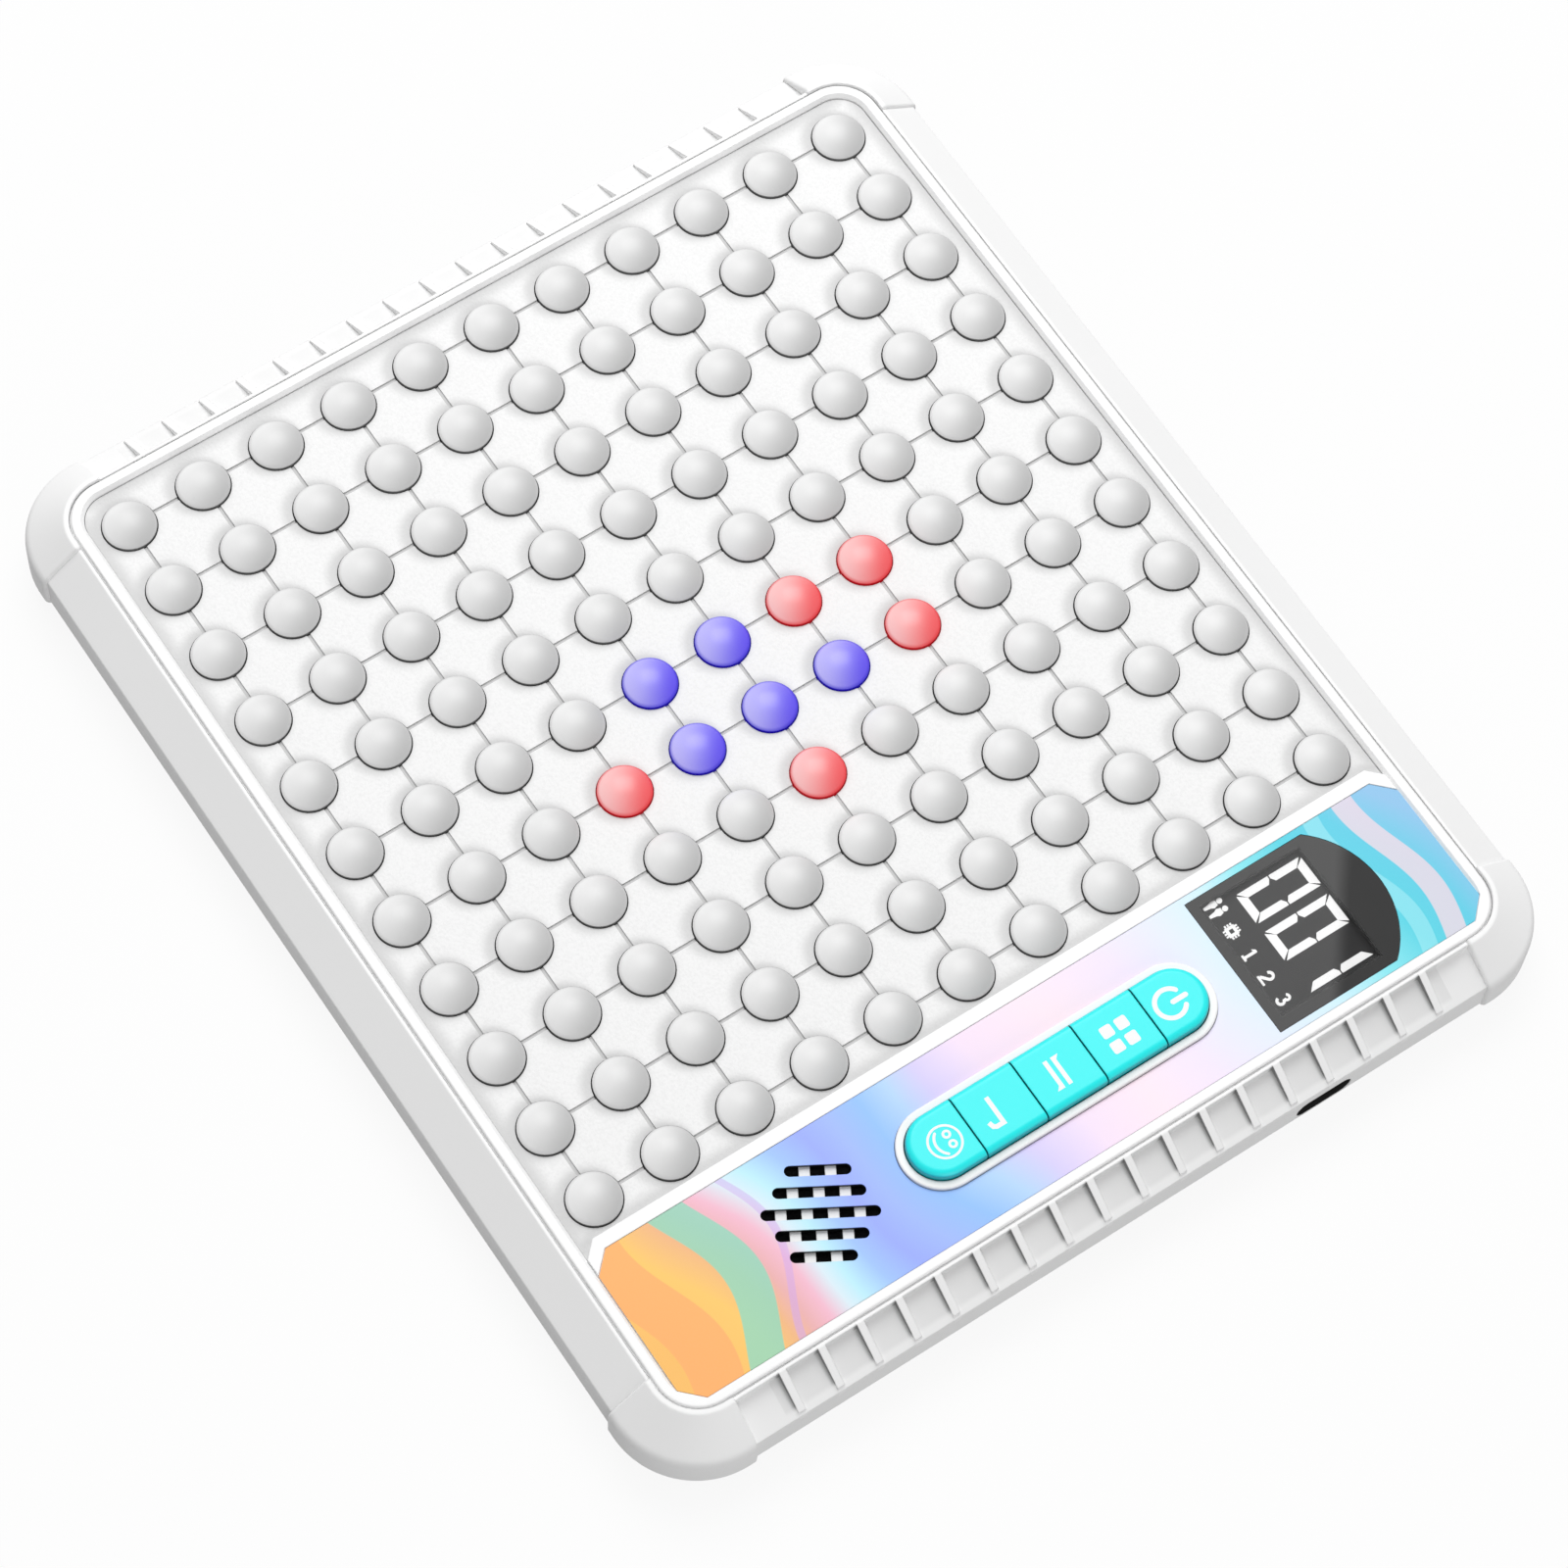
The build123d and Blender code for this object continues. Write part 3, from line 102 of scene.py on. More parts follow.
class Wire:
    """An output socket in a material, on which arithmetic adds Math nodes."""

    def __init__(self, recipe: Recipe, socket: bpy.types.NodeSocket) -> None:
        """Keep the socket and the recipe that it is part of.

        Args:
            recipe: The material's recipe.
            socket: The output socket.
        """
        self.recipe = recipe
        self.socket = socket

    def __add__(self, other: Value) -> Wire:
        """Sum of both."""
        return self.recipe.maths("ADD", self, other)

    def __radd__(self, other: Value) -> Wire:
        """Sum of both."""
        return self.recipe.maths("ADD", other, self)

    def __sub__(self, other: Value) -> Wire:
        """What is left after the other is taken away."""
        return self.recipe.maths("SUBTRACT", self, other)

    def __rsub__(self, other: Value) -> Wire:
        """What is left of the other."""
        return self.recipe.maths("SUBTRACT", other, self)

    def __mul__(self, other: Value) -> Wire:
        """Product of both."""
        return self.recipe.maths("MULTIPLY", self, other)

    def __rmul__(self, other: Value) -> Wire:
        """Product of both."""
        return self.recipe.maths("MULTIPLY", other, self)

    def __truediv__(self, other: Value) -> Wire:
        """This wire shared out by the other."""
        return self.recipe.maths("DIVIDE", self, other)

    def __abs__(self) -> Wire:
        """Size without its sign."""
        return self.recipe.maths("ABSOLUTE", self)

    def within(self) -> Wire:
        """Part after the decimal point, from 0 to 1."""
        return self.recipe.maths("FRACT", self)

    def sine(self) -> Wire:
        """Sine of the value in radians."""
        return self.recipe.maths("SINE", self)

    def root(self) -> Wire:
        """Square root."""
        return self.recipe.maths("SQRT", self)

    def past_nearest(self, first: float, pitch: float) -> Wire:
        """How far the value lies past the nearest of many evenly spaced ones.

        Args:
            first: One of the spaced values.
            pitch: Their spacing.

        Returns:
            The distance, from minus half a spacing to half a spacing.
        """
        return (((self - first) / pitch + 0.5).within() - 0.5) * pitch

    def rise(self, low: float, high: float) -> Wire:
        """Soft step between two values.

        Args:
            low: Value at which the step is 0.
            high: Value at which the step is 1. It may lie below low.

        Returns:
            The step, from 0 to 1.
        """
        sockets = {"Value": self, "From Min": low, "From Max": high}
        settings = {"interpolation_type": "SMOOTHSTEP"}
        return self.recipe.wire("ShaderNodeMapRange", settings, sockets, "Result")


class Recipe:
    """The node tree of one material or of the world, built step by step."""

    MIX_FACTOR, MIX_FIRST, MIX_SECOND, MIX_RESULT = 0, 6, 7, 2
    EDGE_TURN = 0.12

    def __init__(self, owner: bpy.types.Material | bpy.types.World) -> None:
        """Start with no nodes.

        Args:
            owner: The material or the world that gets the nodes.
        """
        owner.use_nodes = True
        self.tree = owner.node_tree
        self.tree.nodes.clear()

    def node(self, kind: str, settings: dict[str, Any], sockets: dict[Any, Any]) -> bpy.types.Node:
        """Add a node.

        Args:
            kind: Type of the node.
            settings: What is set on the node itself, before its sockets.
            sockets: Value or wire of each input, by name or by number.

        Returns:
            The node.
        """
        made = self.tree.nodes.new(kind)
        for name, value in settings.items():
            if name == "stops":
                self._set_stops(made.color_ramp, value)
            else:
                setattr(made, name, value)
        for name, value in sockets.items():
            if isinstance(value, Wire):
                self.tree.links.new(value.socket, made.inputs[name])
            else:
                made.inputs[name].default_value = value
        return made

    @staticmethod
    def _set_stops(ramp: bpy.types.ColorRamp, stops: Sequence[tuple[float, Shade]]) -> None:
        """Give a colour ramp its stops.

        Args:
            ramp: The ramp.
            stops: Place and colour of each stop, in order.
        """
        while len(ramp.elements) < len(stops):
            ramp.elements.new(1.0)
        for element, (place, colour) in zip(ramp.elements, stops):
            element.position = place
            element.color = (*colour, 1.0)

    def wire(self, kind: str, settings: dict[str, Any], sockets: dict[Any, Any], output: Any) -> Wire:
        """Add a node and give one of its outputs.

        Args:
            kind: Type of the node.
            settings: What is set on the node itself.
            sockets: Value or wire of each input.
            output: Name or number of the output.

        Returns:
            The output.
        """
        return Wire(self, self.node(kind, settings, sockets).outputs[output])

    def maths(self, operation: str, *values: Value) -> Wire:
        """Add one Math node on these values."""
        return self.wire("ShaderNodeMath", {"operation": operation}, dict(enumerate(values)), 0)

    @functools.cached_property
    def spot(self) -> Wire:
        """Place on the piece, in millimetres of the shared frame.

        Returns:
            The place, as one vector.
        """
        here = self.wire("ShaderNodeTexCoord", {}, {}, "Object")
        sockets = {0: here, "Scale": 1 / METRES}
        return self.wire("ShaderNodeVectorMath", {"operation": "SCALE"}, sockets, "Vector")

    @functools.cached_property
    def place(self) -> tuple[Wire, Wire, Wire]:
        """The three parts of the place, in millimetres.

        Returns:
            The place along X, along Y and upwards.
        """
        parts = self.node("ShaderNodeSeparateXYZ", {}, {0: self.spot})
        along, across, up = (Wire(self, parts.outputs[axis]) for axis in ("X", "Y", "Z"))
        return along, across, up

    @functools.cached_property
    def facing_up(self) -> Wire:
        """How far the surface faces upwards, from -1 to 1.

        Returns:
            The upward part of its direction.
        """
        normal = self.wire("ShaderNodeNewGeometry", {}, {}, "Normal")
        parts = self.node("ShaderNodeSeparateXYZ", {}, {0: normal})
        return Wire(self, parts.outputs["Z"])

    def noise(
        self, size: float, detail: float = 2.0, stretch: tuple[float, float, float] = (1, 1, 1)
    ) -> Wire:
        """Soft random grain.

        Args:
            size: Size of a grain in millimetres.
            detail: Number of finer layers.
            stretch: Share of the size along each axis.

        Returns:
            Grain from 0 to 1, about 0.5 in the middle.
        """
        where = self.spot
        if tuple(stretch) != (1, 1, 1):
            sockets = {0: self.spot, 1: tuple(1 / part for part in stretch)}
            where = self.wire("ShaderNodeVectorMath", {"operation": "MULTIPLY"}, sockets, "Vector")
        sockets = {"Vector": where, "Scale": 1 / size, "Detail": detail}
        return self.wire("ShaderNodeTexNoise", {}, sockets, 0)

    def cells(self, size: float) -> Wire:
        """Distance to the nearest of many random points, for pores and specks of that size."""
        return self.wire("ShaderNodeTexVoronoi", {}, {"Vector": self.spot, "Scale": 1 / size}, "Distance")

    def paint(self, colour: Paint) -> Any:
        """A colour as a socket takes it."""
        return colour if isinstance(colour, Wire) else (*colour, 1.0)

    def blend(self, first: Paint, second: Paint, amount: Value) -> Wire:
        """Mix two colours.

        Args:
            first: Colour at an amount of 0.
            second: Colour at an amount of 1.
            amount: How much of the second colour shows.

        Returns:
            The mixed colour.
        """
        sockets = {
            self.MIX_FACTOR: amount,
            self.MIX_FIRST: self.paint(first),
            self.MIX_SECOND: self.paint(second),
        }
        return self.wire("ShaderNodeMix", {"data_type": "RGBA"}, sockets, self.MIX_RESULT)

    def ramp(self, amount: Wire, stops: Sequence[tuple[float, Shade]]) -> Wire:
        """Colours laid out along a value from 0 to 1."""
        return self.wire("ShaderNodeValToRGB", {"stops": stops}, {0: amount}, "Color")

    def rounded(self, radius: float) -> Wire:
        """Surface direction with its edges rounded by a radius in millimetres."""
        return self.wire("ShaderNodeBevel", {"samples": 4}, {"Radius": radius * METRES}, "Normal")

    def edge(self, rounded: Wire) -> Wire:
        """Where a rounded direction leaves the flat one: 1 on edges and 0 elsewhere.

        Args:
            rounded: The rounded direction.

        Returns:
            The share of edge.
        """
        flat = self.wire("ShaderNodeNewGeometry", {}, {}, "Normal")
        sockets = {0: rounded, 1: flat}
        agreed = self.wire("ShaderNodeVectorMath", {"operation": "DOT_PRODUCT"}, sockets, "Value")
        return (1 - agreed).rise(0.0, self.EDGE_TURN)

    def relief(self, height: Wire, depth: float, normal: Wire | None = None) -> Wire:
        """Fine relief of the surface.

        Args:
            height: Height from 0 to 1.
            depth: Depth of the relief in millimetres.
            normal: Surface direction that the relief starts from.

        Returns:
            The new surface direction.
        """
        sockets: dict[Any, Any] = {"Height": height, "Distance": depth * METRES}
        if normal is not None:
            sockets["Normal"] = normal
        return self.wire("ShaderNodeBump", {}, sockets, "Normal")

    def surface(self, varying: dict[str, Value], fixed: dict[str, Any] | None = None) -> None:
        """Close the recipe with its surface shader.

        Args:
            varying: Inputs that change over the surface.
            fixed: Inputs that are the same all over.
        """
        shader = self.wire("ShaderNodeBsdfPrincipled", {}, {**(fixed or {}), **varying}, "BSDF")
        self.node("ShaderNodeOutputMaterial", {}, {"Surface": shader})

    def coat(self, tone: Wire, texture: Wire, rough: Point, depth: float) -> None:
        """Close the recipe with a surface whose fine texture shows in its gloss and relief.

        Args:
            tone: Its colour.
            texture: Fine texture from 0 to 1.
            rough: Roughness without the texture, and what the texture adds.
            depth: Depth of the relief in millimetres.
        """
        relief = self.relief(texture, depth)
        self.surface({"Base Color": tone, "Roughness": rough[0] + texture * rough[1], "Normal": relief})


@dataclass(frozen=True)
class KeyGrid:
    """Where the keys stand, in millimetres."""

    pitch: float = 15.0
    first_x: float = -90.45
    first_y: float = -75.2
    dome_radius: float = 4.85
    # Side of each dome that gets painted light, in degrees.
    painted_light_azimuth: float = 232.0

    def centre(self, column: int, row: int) -> Point:
        """Middle of a key."""
        return self.first_x + column * self.pitch, self.first_y + row * self.pitch

    def from_key(self, recipe: Recipe) -> tuple[Wire, Wire, Wire]:
        """Place of a surface point as seen from the nearest key.

        Args:
            recipe: Recipe of the material.

        Returns:
            Millimetres along X, along Y and straight to the key's middle.
        """
        along, across, _ = recipe.place
        x = along.past_nearest(self.first_x, self.pitch)
        y = across.past_nearest(self.first_y, self.pitch)
        return x, y, (x * x + y * y).root()

    def painted_light_side(self, recipe: Recipe) -> Wire:
        """How much painted light falls on the dome of the nearest key, from 0 to 1 across its width.

        Args:
            recipe: Recipe of the material.

        Returns:
            The share of painted light.
        """
        x, y, _ = self.from_key(recipe)
        turn = math.radians(self.painted_light_azimuth)
        across = x * math.cos(turn) + y * math.sin(turn)
        return across.rise(-self.dome_radius, self.dome_radius)


GRID = KeyGrid()


@dataclass(frozen=True)
class Finish:
    """A finish that becomes one material."""

    name: str

    def cook(self, recipe: Recipe) -> None:
        """Fill the recipe with the finish's nodes."""
        raise NotImplementedError


@dataclass(frozen=True)
class MouldedPlastic(Finish):
    """Moulded plastic with a fine grain, smoother and a little paler on its edges, as wear and a painted
    highlight.
    """

    colour: Shade
    roughness: float = 0.42
    grain: float = 0.4
    depth: float = 0.006
    drift: float = 0.012
    edge_radius: float = 0.3
    edge_wear_and_highlight_lift: float = 1.05
    cloud: float = 30.0
    grain_roughness: float = 0.1
    rubbed_gloss: float = 0.08

    def cook(self, recipe: Recipe) -> None:
        """Lay colour drift, grain and paler edges, worn and with a painted highlight, over one colour.

        Args:
            recipe: Recipe of the material.
        """
        rounded = recipe.rounded(self.edge_radius)
        edge_wear_and_highlight = recipe.edge(rounded)
        grain = recipe.noise(self.grain)
        dim, pale = (scaled(self.colour, 1 + drift) for drift in (-self.drift, self.drift))
        base = recipe.blend(dim, pale, recipe.noise(self.cloud))
        # Edges lifted paler: wear and a painted highlight.
        tone = self.mark(recipe, recipe.blend(base, scaled(self.colour, self.edge_wear_and_highlight_lift), edge_wear_and_highlight))
        rough = self.roughness + (grain - 0.5) * self.grain_roughness - edge_wear_and_highlight * self.rubbed_gloss
        normal = recipe.relief(grain, self.depth, rounded)
        recipe.surface({"Base Color": tone, "Roughness": rough, "Normal": normal})

    def mark(self, recipe: Recipe, tone: Wire) -> Wire:
        """Add what sets one moulding apart. A plain one has nothing."""
        return tone


@dataclass(frozen=True)
class RibbedShell(MouldedPlastic):
    """Moulded plastic with grips: ribs paler with a painted highlight, pockets dimmer with painted shade
    and soft creases of painted shadow, in millimetres.
    """

    crease_shade: Shade = shade("#606060")
    pocket_shade: Shade = shade("#d6d6d6")
    crest_highlight: Shade = shade("#ffffff")
    rib_pitch: float = 7.7
    rib_middle: float = 3.55
    rib_half: float = 0.7
    rib_blur: float = 0.1
    crease_width: float = 1.1
    grip_start: float = 101.2
    grip_end: float = 107.4
    grip_half: float = 68.5
    grip_blur: float = 0.4
    foot_blur: float = 1.0
    pocket_share: float = 0.12
    control_share: float = 0.23
    corner_share: float = 0.6
    crease_share: float = 0.85
    flank_facing: Point = (0.6, 0.3)

    def mark(self, recipe: Recipe, tone: Wire) -> Wire:
        """Paint shade into the pockets of both grips, more on the control side, a highlight on the ribs,
        and shadow into the creases on the control side.

        Args:
            recipe: Recipe of the material.
            tone: Colour so far.

        Returns:
            Colour with the painted shade and highlights of the grips.
        """
        along, across, _ = recipe.place
        beside = across.past_nearest(self.rib_middle, self.rib_pitch)
        # The control side gets more painted shade, as less light falls there.
        control_side = along.rise(-1.0, 1.0)
        crest_highlight = abs(beside).rise(self.rib_half + self.rib_blur / 2, self.rib_half - self.rib_blur)
        start = abs(along).rise(self.grip_start, self.grip_start + self.grip_blur)
        grip = start * abs(across).rise(self.grip_half, self.grip_half - self.grip_blur / 2)
        foot = abs(along).rise(self.grip_end, self.grip_end - self.foot_blur)
        # Painted shade in the pockets.
        dim = grip * foot * (1 - crest_highlight) * (self.pocket_share + control_side * self.control_share)
        tone = recipe.blend(tone, self.pocket_shade, dim)
        # Painted highlight along the tops of the ribs.
        tone = recipe.blend(tone, self.crest_highlight, grip * crest_highlight)
        # Painted shadow in the creases beside the ribs and on their shaded flanks.
        near = beside.rise(-self.rib_half - self.crease_width, -self.rib_half)
        near = near * beside.rise(0.0, -self.rib_blur)
        corner = near * near * (1 - crest_highlight) * self.corner_share
        # Painted shade on the rib flanks that face away from the light.
        flank_shade = recipe.facing_up.rise(*self.flank_facing) * near
        crease_shade = recipe.maths("MAXIMUM", corner, flank_shade) * grip * foot * control_side
        return recipe.blend(tone, self.crease_shade, crease_shade * self.crease_share)


@dataclass(frozen=True)
class SlottedWall(MouldedPlastic):
    """Moulded plastic painted black as shadow inside the slot of the charging port, in millimetres."""

    black: Shade = shade("#101010")
    slot_middle: Point = (41.0, 5.9)
    slot_half: Point = (5.8, 2.25)
    slot_end: float = 108.2
    slot_depth: float = 3.0
    blur: float = 0.05

    def mark(self, recipe: Recipe, tone: Wire) -> Wire:
        """Paint the slot's walls black as shadow.

        Args:
            recipe: Recipe of the material.
            tone: Colour so far.

        Returns:
            Colour with painted shadow in the slot.
        """
        along, across, up = recipe.place
        beside = self.slot_half[0] - abs(across - self.slot_middle[0])
        above = self.slot_half[1] - abs(up - self.slot_middle[1])
        deep = recipe.maths("MINIMUM", self.slot_end - along, along - (self.slot_end - self.slot_depth))
        inside = recipe.maths("MINIMUM", recipe.maths("MINIMUM", beside, above), deep)
        # Painted shadow: the inside of the slot is black.
        return recipe.blend(tone, self.black, inside.rise(0.0, self.blur))


@dataclass(frozen=True)
class GrilledPlate(MouldedPlastic):
    """Moulded plastic with walls inside the speaker grille painted black as shadow, in millimetres."""

    black: Shade = shade("#0c0c0c")
    grille: Point = (82.2, -45.2)
    grille_radius: float = 14.5
    grille_top: float = 16.1
    side_blur: float = 0.5
    top_blur: float = 0.1
    wall_facing: Point = (0.8, 0.5)

    def mark(self, recipe: Recipe, tone: Wire) -> Wire:
        """Paint what doesn't face up inside the grille black as shadow.

        Args:
            recipe: Recipe of the material.
            tone: Colour so far.

        Returns:
            Colour with painted shadow on the walls.
        """
        along, across, up = recipe.place
        x, y = along - self.grille[0], across - self.grille[1]
        inside = (x * x + y * y).root().rise(self.grille_radius + self.side_blur, self.grille_radius)
        below = up.rise(self.grille_top, self.grille_top - self.top_blur)
        wall = recipe.facing_up.rise(*self.wall_facing) * below
        # Painted shadow: the walls inside the grille are black.
        return recipe.blend(tone, self.black, inside * wall)


@dataclass(frozen=True)
class DarkFlanked(MouldedPlastic):
    """Moulded plastic with painted shade that makes its steep flanks darker than its top."""

    flank_shade: Shade = shade("#d4d4d4")
    flank_facing: Point = (0.7, 0.2)

    def mark(self, recipe: Recipe, tone: Wire) -> Wire:
        """Paint shade on the steep flanks."""
        return recipe.blend(tone, self.flank_shade, recipe.facing_up.rise(*self.flank_facing))


@dataclass(frozen=True)
class StippledPanel(Finish):
    """Spark-textured field panel with painted shade in the grooves, a painted shadow round each key and
    painted shade along the rim.
    """

    colour: Shade = shade("#f5f5f5")
    groove: Shade = shade("#cccccc")
    foot: Shade = shade("#cdcdcd")
    border: Shade = shade("#cccccc")
    key_radius: float = 4.85
    foot_width: float = 2.8
    foot_shift: Point = (0.45, 0.9)
    left: float = -98.3
    right: float = 65.5
    end: float = 82.1
    border_width: float = 3.4
    top: float = 15.2
    groove_depth: float = 0.3
    speck: float = 0.5
    depth: float = 0.06
    foot_share: float = 0.7
    border_share: float = 0.85
    groove_fade: Point = (0.25, 0.8)
    speck_detail: float = 3.0
    speck_dim: float = 0.95
    speck_range: Point = (0.34, 0.6)
    pore_size: float = 1.6
    pore_share: float = 0.4
    rough: Point = (0.5, 0.2)

    def cook(self, recipe: Recipe) -> None:
        """Stipple the panel and paint shade into it near grooves, keys and rim.

        Args:
            recipe: Recipe of the material.
        """
        along, across, up = recipe.place
        x, y, _ = GRID.from_key(recipe)
        # The painted shadow round each key is shifted to one side.
        x, y = x + self.foot_shift[0], y + self.foot_shift[1]
        reach = (x * x + y * y).root()
        sunk = up.rise(*(self.top - self.groove_depth * share for share in self.groove_fade))
        near = reach.rise(self.key_radius + self.foot_width, self.key_radius)
        sides = recipe.maths("MINIMUM", along - self.left, self.right - along)
        inward = recipe.maths("MINIMUM", sides, self.end - abs(across))
        rim_shade = inward.rise(self.border_width, 0.0)
        stipple = recipe.noise(self.speck, self.speck_detail)
        pores = recipe.cells(self.speck * self.pore_size) * self.pore_share
        specks = stipple.rise(*self.speck_range)
        tone = recipe.blend(scaled(self.colour, self.speck_dim), self.colour, specks)
        # Painted shadow round each key.
        tone = recipe.blend(tone, self.foot, near * near * self.foot_share)
        # Painted shade along the rim's inner edge.
        tone = recipe.blend(tone, self.border, rim_shade * self.border_share)
        # Painted shade in the grooves and key holes, below the panel's top.
        tone = recipe.blend(tone, self.groove, sunk)
        rough = self.rough[0] + stipple * self.rough[1]
        relief = recipe.relief(stipple + pores, self.depth)
        recipe.surface({"Base Color": tone, "Roughness": rough, "Normal": relief})


@dataclass(frozen=True)
class DomedKey(Finish):
    """Milky key with painted light and shade: one side of its dome pale, the other dim, darker towards the
    rim, and painted shade on its skirt.
    """

    colour: Shade = shade("#dedede")
    skirt: Shade = shade("#6c6c6c")
    skirt_top: float = 15.71
    skirt_low: float = 15.62
    dim: float = 0.72
    pale: float = 1.24
    cloud: float = 9.0
    cloud_share: float = 0.1
    rim: float = 0.8
    rim_start: float = 4.15
    rim_share: float = 0.6
    grain: float = 0.35
    rough: Point = (0.36, 0.12)
    depth: float = 0.003

    def cook(self, recipe: Recipe) -> None:
        """Paint light and shade across the dome's width, darken it towards the rim, and paint shade on its
        skirt.

        Args:
            recipe: Recipe of the material.
        """
        _, _, up = recipe.place
        _, _, reach = GRID.from_key(recipe)
        cloud = (recipe.noise(self.cloud) - 0.5) * self.cloud_share
        dim, pale = scaled(self.colour, self.dim), scaled(self.colour, self.pale)
        # Painted light and shade: one side of the dome paler, the other dimmer.
        dome = recipe.blend(dim, pale, GRID.painted_light_side(recipe) + cloud)
        rim = reach.rise(self.rim_start, GRID.dome_radius) * self.rim_share
        dome = recipe.blend(dome, scaled(self.colour, self.rim), rim)
        # Painted shade: the skirt below the dome is dark.
        tone = recipe.blend(dome, self.skirt, up.rise(self.skirt_top, self.skirt_low))
        recipe.coat(tone, recipe.noise(self.grain), self.rough, self.depth)


@dataclass(frozen=True)
class GlowingKey(Finish):
    """Domed key with its lamp on: paler on the side of its painted highlight, full across, deeper at the
    rim, and deep at the foot with painted shade.
    """

    deep: Shade = shade("#c00818")
    middle: Shade = shade("#d0484c")
    pale: Shade = shade("#dcacac")
    glow: float = 0.4
    skirt_top: float = 15.71
    skirt_low: float = 15.62
    skirt_dim: float = 0.8
    rim_start: float = 4.25
    rim_end: float = 4.9
    rim_share: float = 0.7
    grain: float = 0.35
    grain_share: float = 0.04
    rough: Point = (0.3, 0.1)
    depth: float = 0.003

    def cook(self, recipe: Recipe) -> None:
        """Let the lamp show through the dome, paler on one side as a painted highlight and with painted
        shade at the foot.

        Args:
            recipe: Recipe of the material.
        """
        _, _, up = recipe.place
        _, _, reach = GRID.from_key(recipe)
        grain = recipe.noise(self.grain)
        # Painted highlight: one side of the dome is paler.
        painted_light = GRID.painted_light_side(recipe) + (grain - 0.5) * self.grain_share
        dome = recipe.blend(self.middle, self.pale, painted_light)
        rim = reach.rise(self.rim_start, self.rim_end) * self.rim_share
        dome = recipe.blend(dome, self.deep, rim)
        # Painted shade: the skirt below the dome is darker.
        skirt = up.rise(self.skirt_top, self.skirt_low)
        tone = recipe.blend(dome, scaled(self.deep, self.skirt_dim), skirt)
        varying = {"Base Color": tone, "Emission Color": tone, "Normal": recipe.relief(grain, self.depth)}
        varying["Roughness"] = self.rough[0] + grain * self.rough[1]
        recipe.surface(varying, {"Emission Strength": self.glow})


@dataclass(frozen=True)
class Ribbon:
    """A ribbon that swings across the print, in millimetres, with its start in radians."""

    colour: Shade
    middle: float
    half: float
    swing: float
    wave: float
    start: float
    share: float


@dataclass(frozen=True)
class WavePrint(Finish):
    """Printed strip: soft colours in slanted waves, with a few ribbons at both ends."""

    near_y: float = -82.1
    length: float = 164.2
    middle_x: float = 83.0
    width: float = 30.6
    flow: tuple[tuple[float, Shade], ...] = tuple((place, shade(code)) for place, code in (
        (0.00, "#f8b84c"), (0.07, "#fac450"), (0.105, "#efb070"), (0.13, "#e8a8a8"), (0.155, "#f2b4ca"),
        (0.18, "#d8ecf6"), (0.20, "#b8ecfa"), (0.23, "#98c0ff"), (0.265, "#90a4ff"), (0.30, "#98b4ff"),
        (0.34, "#88bcff"), (0.38, "#b0d4ff"), (0.42, "#d6ccfc"), (0.48, "#f6e0f6"), (0.56, "#fce6f2"),
        (0.64, "#f2e4fa"), (0.71, "#e2ebfc"), (0.77, "#cdeefa"), (0.83, "#78e2ec"), (0.89, "#24ccde"),
        (0.95, "#38c6e0"), (1.00, "#80bce6"),
    ))
    ribbons: tuple[Ribbon, ...] = (
        Ribbon(shade("#ffa452"), 4.5, 4.6, 3.0, 46.0, 0.4, 0.75),
        Ribbon(shade("#6fd2b4"), 17.0, 3.4, 3.4, 46.0, 1.5, 0.8),
        Ribbon(shade("#c79be8"), 25.5, 0.7, 3.6, 46.0, 2.1, 0.5),
        Ribbon(shade("#f2d4de"), 156.5, 2.1, 2.0, 40.0, 0.6, 0.7),
        Ribbon(shade("#a8f0f6"), 150.0, 1.6, 2.4, 40.0, 0.2, 0.4),
    )
    ribbon_blur: float = 0.12
    sway_turn: Point = (0.12, 0.09)
    sway: float = 0.012
    slant: float = 0.05
    fibre: float = 0.25
    fibre_share: float = 0.03
    rough: Point = (0.32, 0.1)
    depth: float = 0.002

    def band(self, recipe: Recipe, ribbon: Ribbon) -> Wire:
        """Where a ribbon shows.

        Args:
            recipe: Recipe of the material.
            ribbon: The ribbon.

        Returns:
            Its share inside, and 0 outside.
        """
        along, across, _ = recipe.place
        turn = (along - self.middle_x) * (2 * math.pi / ribbon.wave) + ribbon.start
        away = abs(across - self.near_y - ribbon.middle - turn.sine() * ribbon.swing)
        return away.rise(ribbon.half + self.ribbon_blur, ribbon.half - self.ribbon_blur) * ribbon.share

    def cook(self, recipe: Recipe) -> None:
        """Lay the flow of colours, then ribbons over it.

        Args:
            recipe: Recipe of the material.
        """
        along, across, _ = recipe.place
        side = (along - self.middle_x) / self.width
        sway = (across * self.sway_turn[1] + along * self.sway_turn[0]).sine() * self.sway
        share = (across - self.near_y) / self.length + sway - side * self.slant
        tone = recipe.ramp(share, self.flow)
        for ribbon in self.ribbons:
            tone = recipe.blend(tone, ribbon.colour, self.band(recipe, ribbon))
        fibre = recipe.noise(self.fibre)
        tone = recipe.blend(tone, shade("#ffffff"), fibre * self.fibre_share)
        recipe.coat(tone, fibre, self.rough, self.depth)


